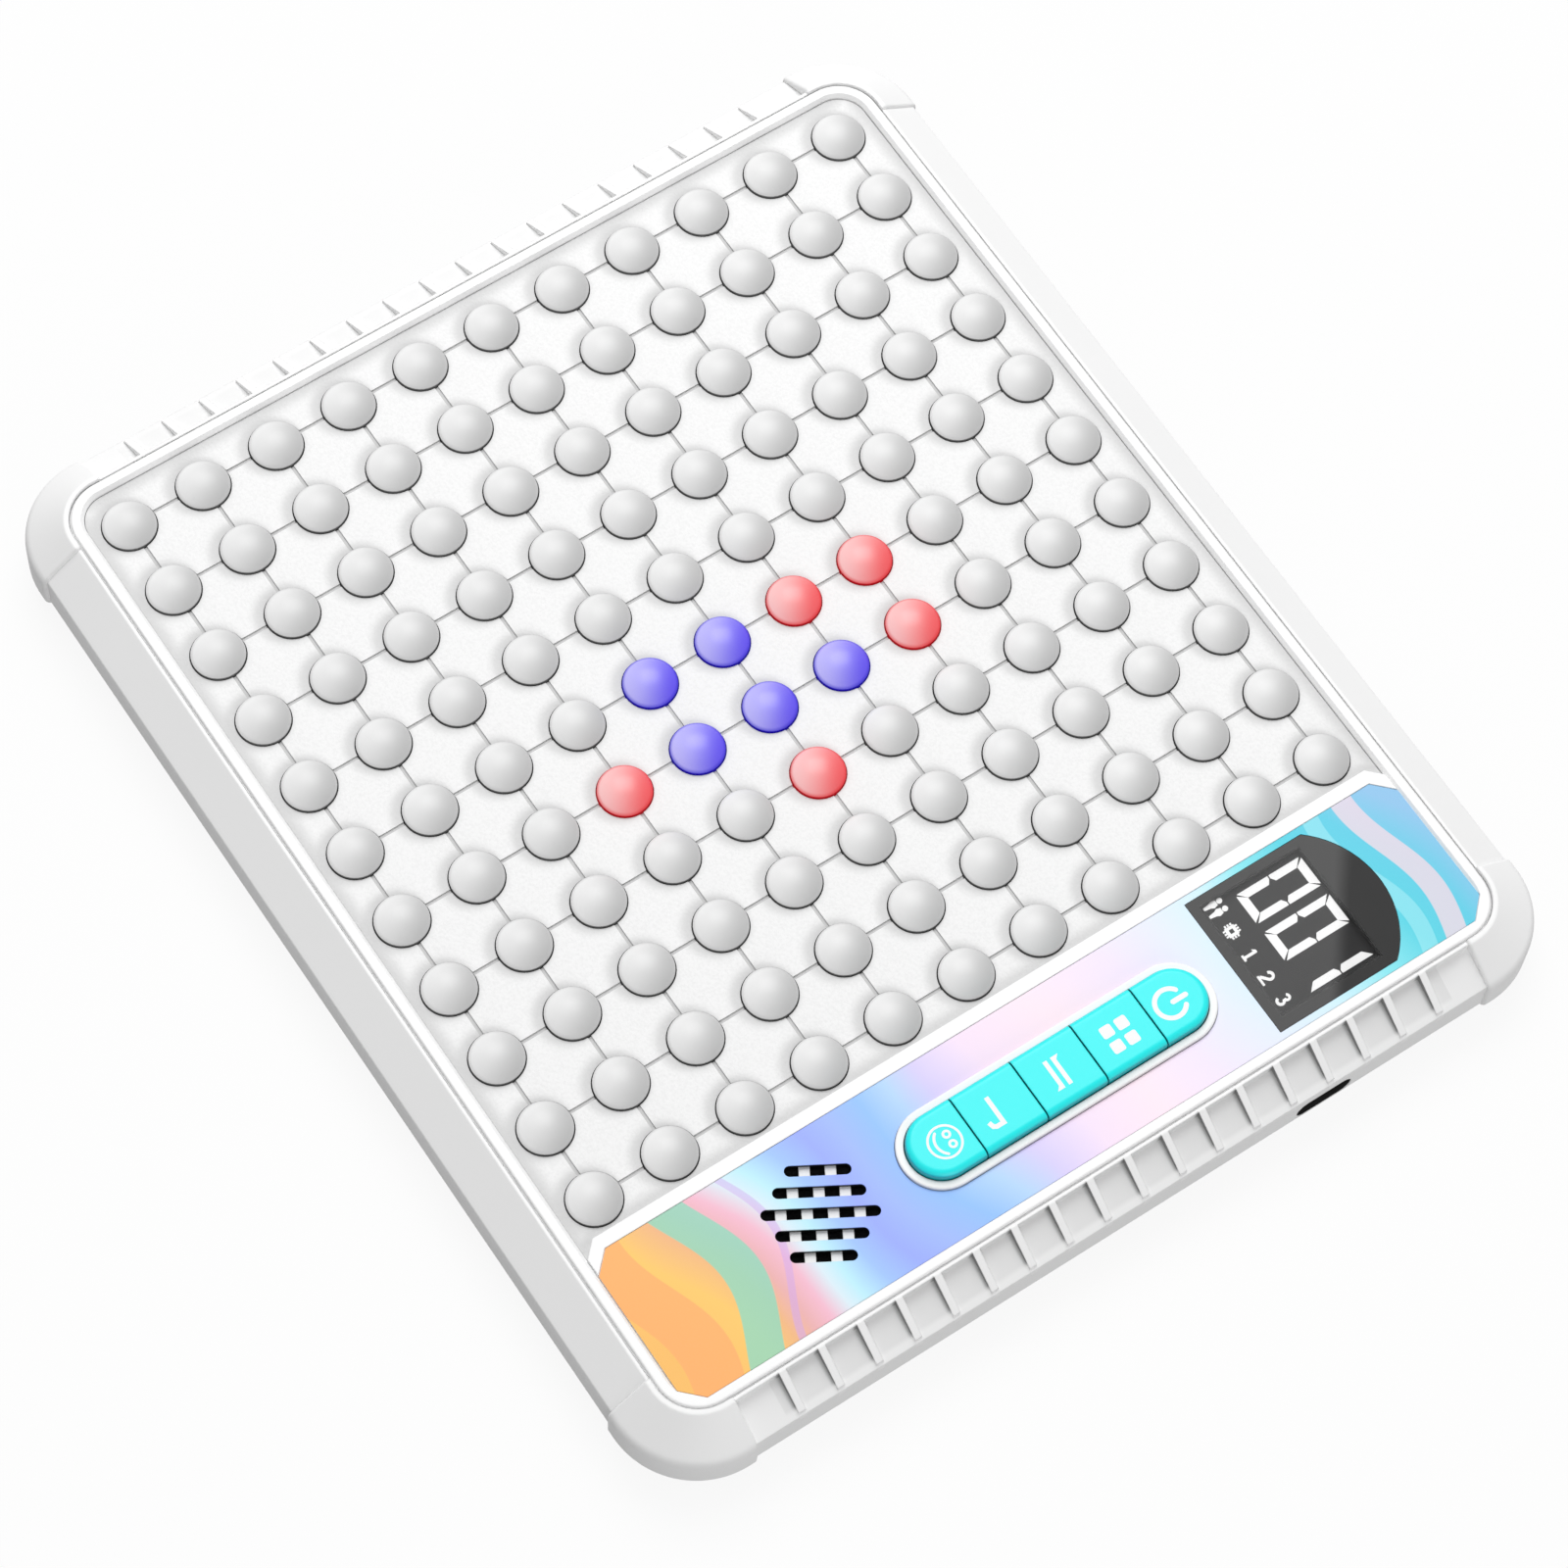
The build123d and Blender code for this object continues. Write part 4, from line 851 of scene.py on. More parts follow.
@dataclass(frozen=True)
class SmokedWindow(Finish):
    """Smoked window with a painted reflection in a slanted band, clear over the module and black-backed
    round it.
    """

    pale: Shade = shade("#606060")
    dark: Shade = shade("#0c0c0c")
    pale_edge: Shade = shade("#484848")
    dark_edge: Shade = shade("#0c0c0c")
    clear: float = 0.6
    gloss: float = 0.12
    clear_middle: Point = (83.1, 50.7)
    clear_half: Point = (11.9, 10.4)
    clear_blur: float = 0.5
    sheen_start: Point = (75.3, 66.0)
    sheen_end: Point = (96.8, 48.5)
    sheen_width: float = 3.5
    sheen_drift: float = 3.0
    drift_size: float = 14.0
    smear: float = 6.0
    rough: Point = (0.14, 0.06)

    def cook(self, recipe: Recipe) -> None:
        """Paint the reflection over the glass.

        Args:
            recipe: Recipe of the material.
        """
        along, across, _ = recipe.place
        line = Vector(self.sheen_end) - Vector(self.sheen_start)
        side = Vector((-line.y, line.x)).normalized()
        drift = (recipe.noise(self.drift_size, 1.0) - 0.5) * self.sheen_drift
        from_x, from_y = along - self.sheen_start[0], across - self.sheen_start[1]
        # Painted reflection: pale on one side of a slanted line, dark on the other.
        turned = (from_x * side.x + from_y * side.y + drift).rise(0.0, self.sheen_width)
        away_x = self.clear_half[0] - abs(along - self.clear_middle[0])
        away_y = self.clear_half[1] - abs(across - self.clear_middle[1])
        inside = recipe.maths("MINIMUM", away_x, away_y).rise(-self.clear_blur, self.clear_blur)
        backed = recipe.blend(self.pale_edge, self.dark_edge, turned)
        tone = recipe.blend(backed, recipe.blend(self.pale, self.dark, turned), inside)
        rough = self.rough[0] + recipe.noise(self.smear) * self.rough[1]
        varying = {"Base Color": tone, "Roughness": rough, "Alpha": 1 - inside * self.clear}
        recipe.surface(varying, {"Specular IOR Level": self.gloss})


@dataclass(frozen=True)
class LitShape(Finish):
    """Milky light guide with a lamp behind it."""

    colour: Shade = shade("#ffffff")
    strength: float = 2.2
    dim: float = 0.9
    spread: float = 2.5
    rough: Point = (0.5, 0.1)

    def cook(self, recipe: Recipe) -> None:
        """Let the light fall off a little between the lamps.

        Args:
            recipe: Recipe of the material.
        """
        hot = recipe.noise(self.spread, 1.0)
        tone = recipe.blend(scaled(self.colour, self.dim), self.colour, hot)
        rough = self.rough[0] + hot * self.rough[1]
        varying = {"Base Color": tone, "Emission Color": tone, "Roughness": rough}
        recipe.surface(varying, {"Emission Strength": self.strength})


@dataclass(frozen=True)
class SignInk(Finish):
    """Thick screen print, slightly uneven."""

    colour: Shade = shade("#fafafa")
    dim: float = 0.96
    grain: float = 0.5
    rough: Point = (0.4, 0.15)
    depth: float = 0.004

    def cook(self, recipe: Recipe) -> None:
        """Give the ink its uneven skin.

        Args:
            recipe: Recipe of the material.
        """
        skin = recipe.noise(self.grain)
        tone = recipe.blend(scaled(self.colour, self.dim), self.colour, skin)
        recipe.coat(tone, skin, self.rough, self.depth)


@dataclass(frozen=True)
class Laminate(Finish):
    """Circuit board: green lacquer over copper tracks."""

    lacquer: Shade = shade("#14643a")
    track: Shade = shade("#2a8a52")
    spacing: float = 1.6
    bend: float = 9.0
    bend_size: float = 14.0
    patch: float = 20.0
    patch_range: Point = (0.45, 0.5)
    line_range: Point = (0.22, 0.17)
    grain: float = 0.6
    rough: Point = (0.3, 0.15)
    depth: float = 0.03

    def cook(self, recipe: Recipe) -> None:
        """Draw tracks under the lacquer.

        Args:
            recipe: Recipe of the material.
        """
        along, _, _ = recipe.place
        bend = recipe.noise(self.bend_size, 1.0) * self.bend
        line = abs(((along + bend) / self.spacing).within() - 0.5)
        tracks = line.rise(*self.line_range) * recipe.noise(self.patch, 1.0).rise(*self.patch_range)
        tone = recipe.blend(self.lacquer, self.track, tracks)
        rough = self.rough[0] + recipe.noise(self.grain) * self.rough[1]
        relief = recipe.relief(tracks, self.depth)
        recipe.surface({"Base Color": tone, "Roughness": rough, "Normal": relief})


@dataclass(frozen=True)
class BrushedMetal(Finish):
    """Pressed or turned metal with fine lines."""

    colour: Shade
    roughness: float = 0.32
    stretch: tuple[float, float, float] = (8.0, 1.0, 1.0)
    line: float = 0.2
    line_tones: Point = (0.9, 1.1)
    line_roughness: float = 0.2
    line_depth: float = 0.004
    edge_radius: float = 0.15
    edge_wear_and_highlight_lift: float = 1.25
    edge_share: float = 0.6

    def cook(self, recipe: Recipe) -> None:
        """Draw the lines and the rubbed edges.

        Args:
            recipe: Recipe of the material.
        """
        rounded = recipe.rounded(self.edge_radius)
        lines = recipe.noise(self.line, 2.0, self.stretch)
        dim, pale = (scaled(self.colour, share) for share in self.line_tones)
        edge_wear_and_highlight = recipe.edge(rounded) * self.edge_share
        tone = recipe.blend(recipe.blend(dim, pale, lines), scaled(self.colour, self.edge_wear_and_highlight_lift), edge_wear_and_highlight)
        rough = self.roughness + (lines - 0.5) * self.line_roughness
        relief = recipe.relief(lines, self.line_depth, rounded)
        recipe.surface({"Base Color": tone, "Roughness": rough, "Normal": relief}, {"Metallic": 1.0})


@dataclass(frozen=True)
class OpenPores(Finish):
    """Foam, paper or rubber: a dull surface with pores."""

    colour: Shade
    pore: float = 0.5
    depth: float = 0.05
    roughness: float = 0.85
    pore_tones: Point = (0.75, 1.1)
    pore_roughness: float = -0.1
    cloud: float = 6.0
    cloud_range: Point = (0.55, 0.8)
    cloud_tone: float = 1.3
    cloud_share: float = 0.3

    def cook(self, recipe: Recipe) -> None:
        """Open the pores.

        Args:
            recipe: Recipe of the material.
        """
        pores = recipe.cells(self.pore)
        dim, pale = (scaled(self.colour, share) for share in self.pore_tones)
        cloud = recipe.noise(self.cloud).rise(*self.cloud_range) * self.cloud_share
        tone = recipe.blend(recipe.blend(dim, pale, pores), scaled(self.colour, self.cloud_tone), cloud)
        recipe.coat(tone, pores, (self.roughness, self.pore_roughness), self.depth)


@dataclass(frozen=True)
class StripedCable(Finish):
    """Flat cable with its conductors side by side."""

    colour: Shade = shade("#e4e6ea")
    line: Shade = shade("#b8a888")
    pitch: float = 1.0
    wire_range: Point = (0.32, 0.2)
    wire_share: float = 0.6
    rough: Point = (0.35, 0.1)
    depth: float = 0.05

    def cook(self, recipe: Recipe) -> None:
        """Draw the conductors.

        Args:
            recipe: Recipe of the material.
        """
        _, across, _ = recipe.place
        wires = abs((across / self.pitch).within() - 0.5).rise(*self.wire_range)
        tone = recipe.blend(self.colour, self.line, wires * self.wire_share)
        recipe.coat(tone, wires, self.rough, self.depth)


@functools.cache
def material_of(finish: Finish) -> bpy.types.Material:
    """Make a finish's material once.

    Args:
        finish: The finish.

    Returns:
        Its material.
    """
    material = bpy.data.materials.new(finish.name)
    finish.cook(Recipe(material))
    return material


def dress(frame: Frame, finish: Finish, names: Iterable[str]) -> list[str]:
    """Give solids of the frame a finish.

    Args:
        frame: The loaded frame.
        finish: The finish.
        names: Names of the solids.

    Returns:
        The names, for the report.
    """
    dressed = list(names)
    for name in dressed:
        solid = frame["nodes"][name]
        if not solid.material_slots:
            solid.data.materials.append(None)
        for slot in solid.material_slots:
            slot.material = material_of(finish)
    return dressed


def numbered(frame: Frame, *starts: str) -> list[str]:
    """Names of the frame's solids that start with any of these words."""
    return sorted(name for name in frame["nodes"] if name.startswith(starts))


def arc(middle: Point, radius: float, start: float, end: float, steps: int = 24) -> list[Point]:
    """Points along an arc.

    Args:
        middle: Middle of the arc.
        radius: Its radius.
        start: Angle of its first point, in degrees.
        end: Angle of its last point.
        steps: Number of spans.

    Returns:
        The points, both ends among them.
    """
    turns = [math.radians(start + (end - start) * step / steps) for step in range(steps + 1)]
    return [(middle[0] + radius * math.cos(turn), middle[1] + radius * math.sin(turn)) for turn in turns]


def ring(middle: Point, radius: float, steps: int = 48) -> list[Point]:
    """Points round a circle, with the first one not repeated."""
    return arc(middle, radius, 0.0, FULL_TURN, steps)[:-1]


def added(name: str, data: bpy.types.ID) -> bpy.types.Object:
    """Put an object into the scene.

    Args:
        name: Its name.
        data: Its mesh, lamp or camera.

    Returns:
        The object.
    """
    made = bpy.data.objects.new(name, data)
    bpy.context.scene.collection.objects.link(made)
    return made


class FlatWork:
    """Thin shapes that stand on one level, gathered in one mesh. All sizes are in millimetres."""

    def __init__(self, name: str, low: float, high: float, origin: Point = (0.0, 0.0)) -> None:
        """Start an empty mesh.

        Args:
            name: Name of the piece.
            low: Height of the shapes' underside.
            high: Height of their top.
            origin: Place in plan of the shapes' own zero.
        """
        self.name = name
        self.low = low
        self.high = high
        self.origin = origin
        self.mesh = bmesh.new()

    def _corners(self, outline: Sequence[Point], height: float) -> list[bmesh.types.BMVert]:
        """Place an outline's corners at a height.

        Args:
            outline: The corners in plan.
            height: Their height.

        Returns:
            The placed corners.
        """
        x, y = self.origin
        return [
            self.mesh.verts.new(((x + a) * METRES, (y + b) * METRES, height * METRES)) for a, b in outline]

    def _wall(self, lower: list[bmesh.types.BMVert], upper: list[bmesh.types.BMVert]) -> None:
        """Close the side between two rows of corners.

        Args:
            lower: One row of corners.
            upper: The other row, with as many.
        """
        for index in range(len(lower)):
            after = (index + 1) % len(lower)
            self.mesh.faces.new((lower[index], lower[after], upper[after], upper[index]))

    def slab(self, outline: Sequence[Point]) -> None:
        """Add a plate.

        Args:
            outline: Its corners in plan, anticlockwise.
        """
        lower = self._corners(outline, self.low)
        upper = self._corners(outline, self.high)
        self.mesh.faces.new(upper)
        self.mesh.faces.new(lower[::-1])
        self._wall(lower, upper)

    def band(self, outer: Sequence[Point], inner: Sequence[Point]) -> None:
        """Add a closed ring.

        Args:
            outer: Its outer corners in plan, anticlockwise.
            inner: Its inner corners, as many, in the same order.
        """
        rows = [self._corners(line, height) for line in (outer, inner) for height in (self.low, self.high)]
        outer_low, outer_high, inner_low, inner_high = rows
        self._wall(outer_low, outer_high)
        self._wall(inner_high, inner_low)
        self._wall(outer_high, inner_high)
        self._wall(inner_low, outer_low)

    def stroke(self, line: Sequence[Point], width: float, round_ends: bool = False) -> None:
        """Add a line of even width.

        Args:
            line: Points along its middle.
            width: Its width.
            round_ends: Whether its ends are round.
        """
        half = width / 2
        left: list[Point] = []
        right: list[Point] = []
        for index, here in enumerate(line):
            before = Vector(line[max(index - 1, 0)])
            after = Vector(line[min(index + 1, len(line) - 1)])
            spot = Vector(here)
            arriving = (spot - before).normalized() if index else (after - spot).normalized()
            leaving = (after - spot).normalized() if index < len(line) - 1 else arriving
            middle = (arriving + leaving).normalized()
            reach = half / max(0.4, middle.dot(arriving))
            side = Vector((-middle.y, middle.x)) * reach
            left.append(tuple(spot + side))
            right.append(tuple(spot - side))
        tip: list[Point] = []
        tail: list[Point] = []
        if round_ends:
            ahead = math.degrees(math.atan2(line[-1][1] - line[-2][1], line[-1][0] - line[-2][0]))
            behind = math.degrees(math.atan2(line[0][1] - line[1][1], line[0][0] - line[1][0]))
            tip = arc(line[-1], half, ahead - 90, ahead + 90, 8)[1:-1]
            tail = arc(line[0], half, behind - 90, behind + 90, 8)[1:-1]
        self.slab(right + tip + left[::-1] + tail)

    def finish(self, finish: Finish, body: str, soften: float, slot: str) -> bpy.types.Object:
        """Turn the shapes into a piece that rides on a body.

        Args:
            finish: Finish of the piece.
            body: Body that it rides on.
            soften: Width of its softened edges.
            slot: Material slot that the finish belongs to; not used.

        Returns:
            The piece.
        """
        bmesh.ops.recalc_face_normals(self.mesh, faces=self.mesh.faces)
        data = bpy.data.meshes.new(self.name)
        self.mesh.to_mesh(data)
        self.mesh.free()
        piece = added(self.name, data)
        data.materials.append(material_of(finish))
        edges = piece.modifiers.new("softened", "BEVEL")
        edges.width = soften * METRES
        edges.segments = 2
        edges.limit_method = "ANGLE"
        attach(piece, body)
        return piece


@dataclass(frozen=True)
class Outfit:
    """A sub-assembly whose solids keep their shapes and get finishes."""

    title: str
    looks: tuple[tuple[Finish, tuple[str, ...]], ...]

    def build(self, frame: Frame) -> list[str]:
        """Dress the solids.

        Args:
            frame: The loaded frame.

        Returns:
            Names of the solids.
        """
        names: list[str] = []
        for finish, starts in self.looks:
            names += dress(frame, finish, numbered(frame, *starts))
        return names


OUTSIDE = (
    Outfit("housing", (
        (RibbedShell("satin_white_shell", shade("#f9f9f9"), 0.45), ("outer_case",)),
        (SlottedWall("satin_white_lower", shade("#f9f9f9"), 0.5), ("bottom_case",)),
        (GrilledPlate("smooth_white_rim", shade("#fafafa"), 0.34, depth=0.003), ("rim_frame",)))),
    Outfit("bumpers", (
        # Bumper edges: wear and a strong painted highlight.
        (MouldedPlastic("soft_white_bumper", shade("#f9f9f9"), 0.5, grain=0.6, depth=0.008,
                        edge_radius=0.5, edge_wear_and_highlight_lift=1.12), ("bumper_",)),)),
    Outfit("playing field", (
        (StippledPanel("stippled_field"), ("grid_panel",)),
        (DomedKey("milky_key"), ("keys_line_",)),
        (GlowingKey("red_key_glow"), ("key_red_",)),
        (GlowingKey("blue_key_glow", shade("#1800ae"), shade("#5040cc"), shade("#a6a2dc")),
         ("key_blue_",)))),
    Outfit("printed strip", ((WavePrint("wave_print"), ("control_overlay",)),)),
)
INSIDE = (
    Outfit("charging port", (
        (BrushedMetal("port_metal", shade("#b4b6ba"), 0.28), ("port_shell",)),
        (MouldedPlastic("port_tongue", shade("#242426"), 0.5), ("port_tongue",)))),
    Outfit("underside", (
        (OpenPores("foot_rubber", shade("#4a4a4c"), 0.4, 0.02, 0.75), ("feet",)),
        (BrushedMetal("screw_steel", shade("#a8aab0"), 0.35), ("case_screws",)))),
    Outfit("electronics", (
        (Laminate("board_lacquer"), ("main_board", "control_board")),
        (MouldedPlastic("chip_black", shade("#2c2c2e"), 0.55, 0.2), ("control_chips",)),
        (MouldedPlastic("switch_black", shade("#343436"), 0.5), ("tact_switches",)),
        (MouldedPlastic("lamp_white", shade("#f2f0e4"), 0.3), ("key_leds",)),
        (OpenPores("sheet_rubber", shade("#dcdcdc"), 0.3, 0.01, 0.7), ("key_sheet",)),
        (MouldedPlastic("socket_cream", shade("#ece8da"), 0.45), ("ribbon_sockets",)),
        (StripedCable("ribbon_white"), ("board_ribbon",)))),
    Outfit("speaker", (
        (BrushedMetal("basket_metal", shade("#38383a"), 0.45), ("speaker_basket",)),
        (OpenPores("cone_paper", shade("#1c1c1e"), 0.35, 0.03, 0.9), ("speaker_cone",)),
        (BrushedMetal("magnet_metal", shade("#b0b0b4"), 0.3), ("speaker_magnet",)))),
    Outfit("battery", (
        (BrushedMetal("cell_foil", shade("#c8cacc"), 0.4, (3.0, 3.0, 1.0)), ("battery_cell",)),
        (OpenPores("pad_foam", shade("#303032"), 0.8, 0.1), ("battery_pad",)))),
)
# Ring and caps: painted shade on their steep flanks.
WHITE_RING = DarkFlanked("smooth_white_ring", shade("#fafafa"), 0.34, depth=0.003)
CYAN_CAP = DarkFlanked(
    "cyan_cap", shade("#10f2f2"), 0.38, depth=0.004, edge_wear_and_highlight_lift=1.0, flank_shade=shade("#10a8b0"))


@dataclass
class Display:
    """Smoked window with three digits and a row of small signs, in millimetres."""

    title: ClassVar[str] = "display"
    low: float = 14.5
    high: float = 14.7
    digit_middles: tuple[float, ...] = (75.4, 83.65, 90.65)
    digit_base: float = 47.2
    digit_height: float = 13.75
    digit_width: float = 6.35
    side_stroke: float = 1.45
    end_stroke: float = 1.6
    joint: float = 0.16
    nib: float = 0.62
    sign_middles: tuple[float, ...] = (72.35, 77.3, 82.55, 87.5, 92.3)
    sign_base: float = 41.35
    sign_height: float = 2.85
    ink: float = 0.5
    soften: float = 0.02

    def bars(self, work: FlatWork, middle: float, only_right: bool) -> None:
        """Add the lit bars of a digit.

        Args:
            work: Mesh that takes the bars.
            middle: Middle of the digit along X.
            only_right: Whether only the right side is lit, as in a one.
        """
        half, waist = self.digit_width / 2, self.digit_height / 2
        inner = half - self.side_stroke
        shoulder = waist - self.end_stroke
        gap = self.joint / 2
        for side in (1,) if only_right else (1, -1):
            for up in (1, -1):
                outline = [
                    (half, gap * 2), (half, waist - self.joint * 2), (inner, shoulder - self.joint),
                    (inner, self.nib + gap * 2), (half - self.nib, gap * 2)]
                points = [(middle + side * x, waist + up * y) for x, y in outline]
                work.slab(points if side * up > 0 else points[::-1])
        for up in () if only_right else (1, -1):
            outline = [
                (-half + self.joint * 2, waist), (-inner, shoulder), (inner, shoulder),
                (half - self.joint * 2, waist)]
            points = [(middle + x, waist + up * y) for x, y in outline]
            work.slab(points if up > 0 else points[::-1])

    def people(self, work: FlatWork, x: float) -> None:
        """Add the sign for two players: two standing figures.

        Args:
            work: Mesh that takes the sign.
            x: Middle of the sign along X.
        """
        for shift in (-0.86, 0.86):
            work.slab(ring((x + shift, 2.95), 0.52, 20))
            work.slab([
                (x + shift - 0.24, -0.3), (x + shift + 0.24, -0.3), (x + shift + 0.44, 1.0),
                (x + shift + 0.72, 1.5), (x + shift + 0.5, 2.3), (x + shift - 0.5, 2.3),
                (x + shift - 0.72, 1.5), (x + shift - 0.44, 1.0)])

    def processor(self, work: FlatWork, x: float) -> None:
        """Add the sign for playing alone: a square chip with its pins.

        Args:
            work: Mesh that takes the sign.
            x: Middle of the sign along X.
        """
        half, pin = 0.95, 0.3
        middle = self.sign_height / 2
        square = [(-half, -half), (half, -half), (half, half), (-half, half)]
        core = [(a * 0.45, b * 0.45) for a, b in square]
        work.band([(x + a, middle + b) for a, b in square], [(x + a, middle + b) for a, b in core])
        for step in (-0.55, 0.0, 0.55):
            for side in (-1, 1):
                start, end = half * side * 1.08, (half + 0.48) * side
                work.stroke([(x + step, middle + start), (x + step, middle + end)], pin)
                work.stroke([(x + start, middle + step), (x + end, middle + step)], pin)

    def one(self, work: FlatWork, x: float) -> None:
        """Add the figure 1.

        Args:
            work: Mesh that takes the sign.
            x: Middle of the sign along X.
        """
        work.stroke([(x, 0.44), (x, self.sign_height)], self.ink)
        work.stroke([(x - 0.62, 0.2), (x + 0.62, 0.2)], 0.4)
        work.slab([(x - 0.7, 2.2), (x - 0.27, 2.35), (x - 0.27, 2.85)])

    def two(self, work: FlatWork, x: float) -> None:
        """Add the figure 2."""
        work.stroke(arc((x, 1.98), 0.66, 175, -38, 14) + [(x - 0.72, 0.46)], self.ink)
        work.stroke([(x - 1.0, 0.2), (x + 1.0, 0.2)], 0.4)

    def three(self, work: FlatWork, x: float) -> None:
        """Add the figure 3."""
        work.stroke(arc((x, 2.13), 0.5, 160, -88, 14), 0.44)
        work.stroke(arc((x, 0.84), 0.64, 86, -165, 16), self.ink)

    def build(self, frame: Frame) -> list[str]:
        """Dress the window, cut the lit shapes and set them on the module.

        Args:
            frame: The loaded frame.

        Returns:
            Names of the pieces.
        """
        names = dress(frame, SmokedWindow("smoked_window"), ["display_window"])
        block = MouldedPlastic("black_module", shade("#2a2a2c"), 0.6, edge_wear_and_highlight_lift=1.3)
        names += dress(frame, block, ["display_module"])
        lit = LitShape("lit_white")
        names += dress(frame, lit, ["digit_segments", "indicator_lamps"])
        digits = FlatWork("lit_digits", self.low, self.high, (0.0, self.digit_base))
        for index, middle in enumerate(self.digit_middles):
            self.bars(digits, middle, index == len(self.digit_middles) - 1)
        signs = FlatWork("lit_signs", self.low, self.high, (0.0, self.sign_base))
        draws = (self.people, self.processor, self.one, self.two, self.three)
        for draw, middle in zip(draws, self.sign_middles):
            draw(signs, middle)
        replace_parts(digits.finish(lit, "board", self.soften, "lit_white"), "digit_segments")
        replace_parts(signs.finish(lit, "board", self.soften, "lit_white"), "indicator_lamps")
        return names + ["lit_digits", "lit_signs"]


class Sign(Enum):
    """What a function button shows."""

    FACE = "face"
    UNDO = "undo"
    SWAP = "swap"
    MENU = "menu"
    POWER = "power"


@dataclass
class FunctionButtons:
    """White ring with its five cyan caps and the signs printed on them, in millimetres."""

    title: ClassVar[str] = "function buttons"
    middle_x: float = 83.7
    middles: dict[Sign, float] = field(default_factory=lambda: {
        Sign.FACE: -21.45, Sign.UNDO: -12.3, Sign.SWAP: 1.48, Sign.MENU: 14.25, Sign.POWER: 24.75})
    cap_top: float = 18.75
    ink_rise: float = 0.03
    ink_sink: float = 0.05
    line: float = 0.85
    soften: float = 0.02
    ink: SignInk = SignInk("white_sign_ink")

    def face(self, work: FlatWork) -> None:
        """Draw the round smiling sign.

        Args:
            work: Mesh that takes the sign.
        """
        work.band(ring((0, 0), 3.15), ring((0, 0), 2.7))
        for x in (-1.0, 1.0):
            work.band(ring((x, 0.95), 0.82, 24), ring((x, 0.95), 0.36, 24))
        work.stroke(arc((0, 1.02), 2.7, 219, 321), 0.5, True)

    def undo(self, work: FlatWork) -> None:
        """Draw the hooked line for taking back a move."""
        work.stroke([(-2.85, 1.1), (2.45, 1.1), (2.45, -0.3), (2.15, -0.85), (1.2, -1.08)], self.line)

    def swap(self, work: FlatWork) -> None:
        """Draw the two half arrows for changing sides.

        Args:
            work: Mesh that takes the sign.
        """
        for side in (1, -1):
            bar = [(-2.9, 0.38), (2.85, 0.38), (2.85, 1.2), (-2.1, 1.2), (-2.9, 1.95)]
            work.slab([(side * x, side * y) for x, y in bar])

    def menu(self, work: FlatWork) -> None:
        """Draw the four small squares.

        Args:
            work: Mesh that takes the sign.
        """
        half, corner = 1.14, 0.42
        for x in (-1.6, 1.6):
            for y in (-1.52, 1.52):
                outline: list[Point] = []
                for turn, (a, b) in enumerate(((1, 1), (-1, 1), (-1, -1), (1, -1))):
                    spot = (x + a * (half - corner), y + b * (half - corner))
                    outline += arc(spot, corner, turn * 90, turn * 90 + 90, 5)
                work.slab(outline)

    def power(self, work: FlatWork) -> None:
        """Draw the open ring with its bar."""
        work.stroke(arc((0, 0), 2.7, 126, 414, 40), 0.88, True)
        work.stroke([(0, 0.55), (0, 3.1)], 0.95, True)

    def build(self, frame: Frame) -> list[str]:
        """Dress ring and caps and print the signs.

        Args:
            frame: The loaded frame.

        Returns:
            Names of the pieces.
        """
        names = dress(frame, WHITE_RING, ["button_bezel"])
        for sign, middle in self.middles.items():
            cap = f"button_{sign.value}"
            names += dress(frame, CYAN_CAP, [cap])
            low, high = self.cap_top - self.ink_sink, self.cap_top + self.ink_rise
            work = FlatWork(f"sign_{sign.value}", low, high, (self.middle_x, middle))
            getattr(self, sign.value)(work)
            work.finish(self.ink, cap, self.soften, "white_rim")
            names.append(work.name)
        return names


@dataclass(frozen=True)
class SoftLamp:
    """A square lamp: its power in watts, its size in metres, and where it hangs in degrees."""

    name: str
    power: float
    size: float
    azimuth: float
    elevation: float


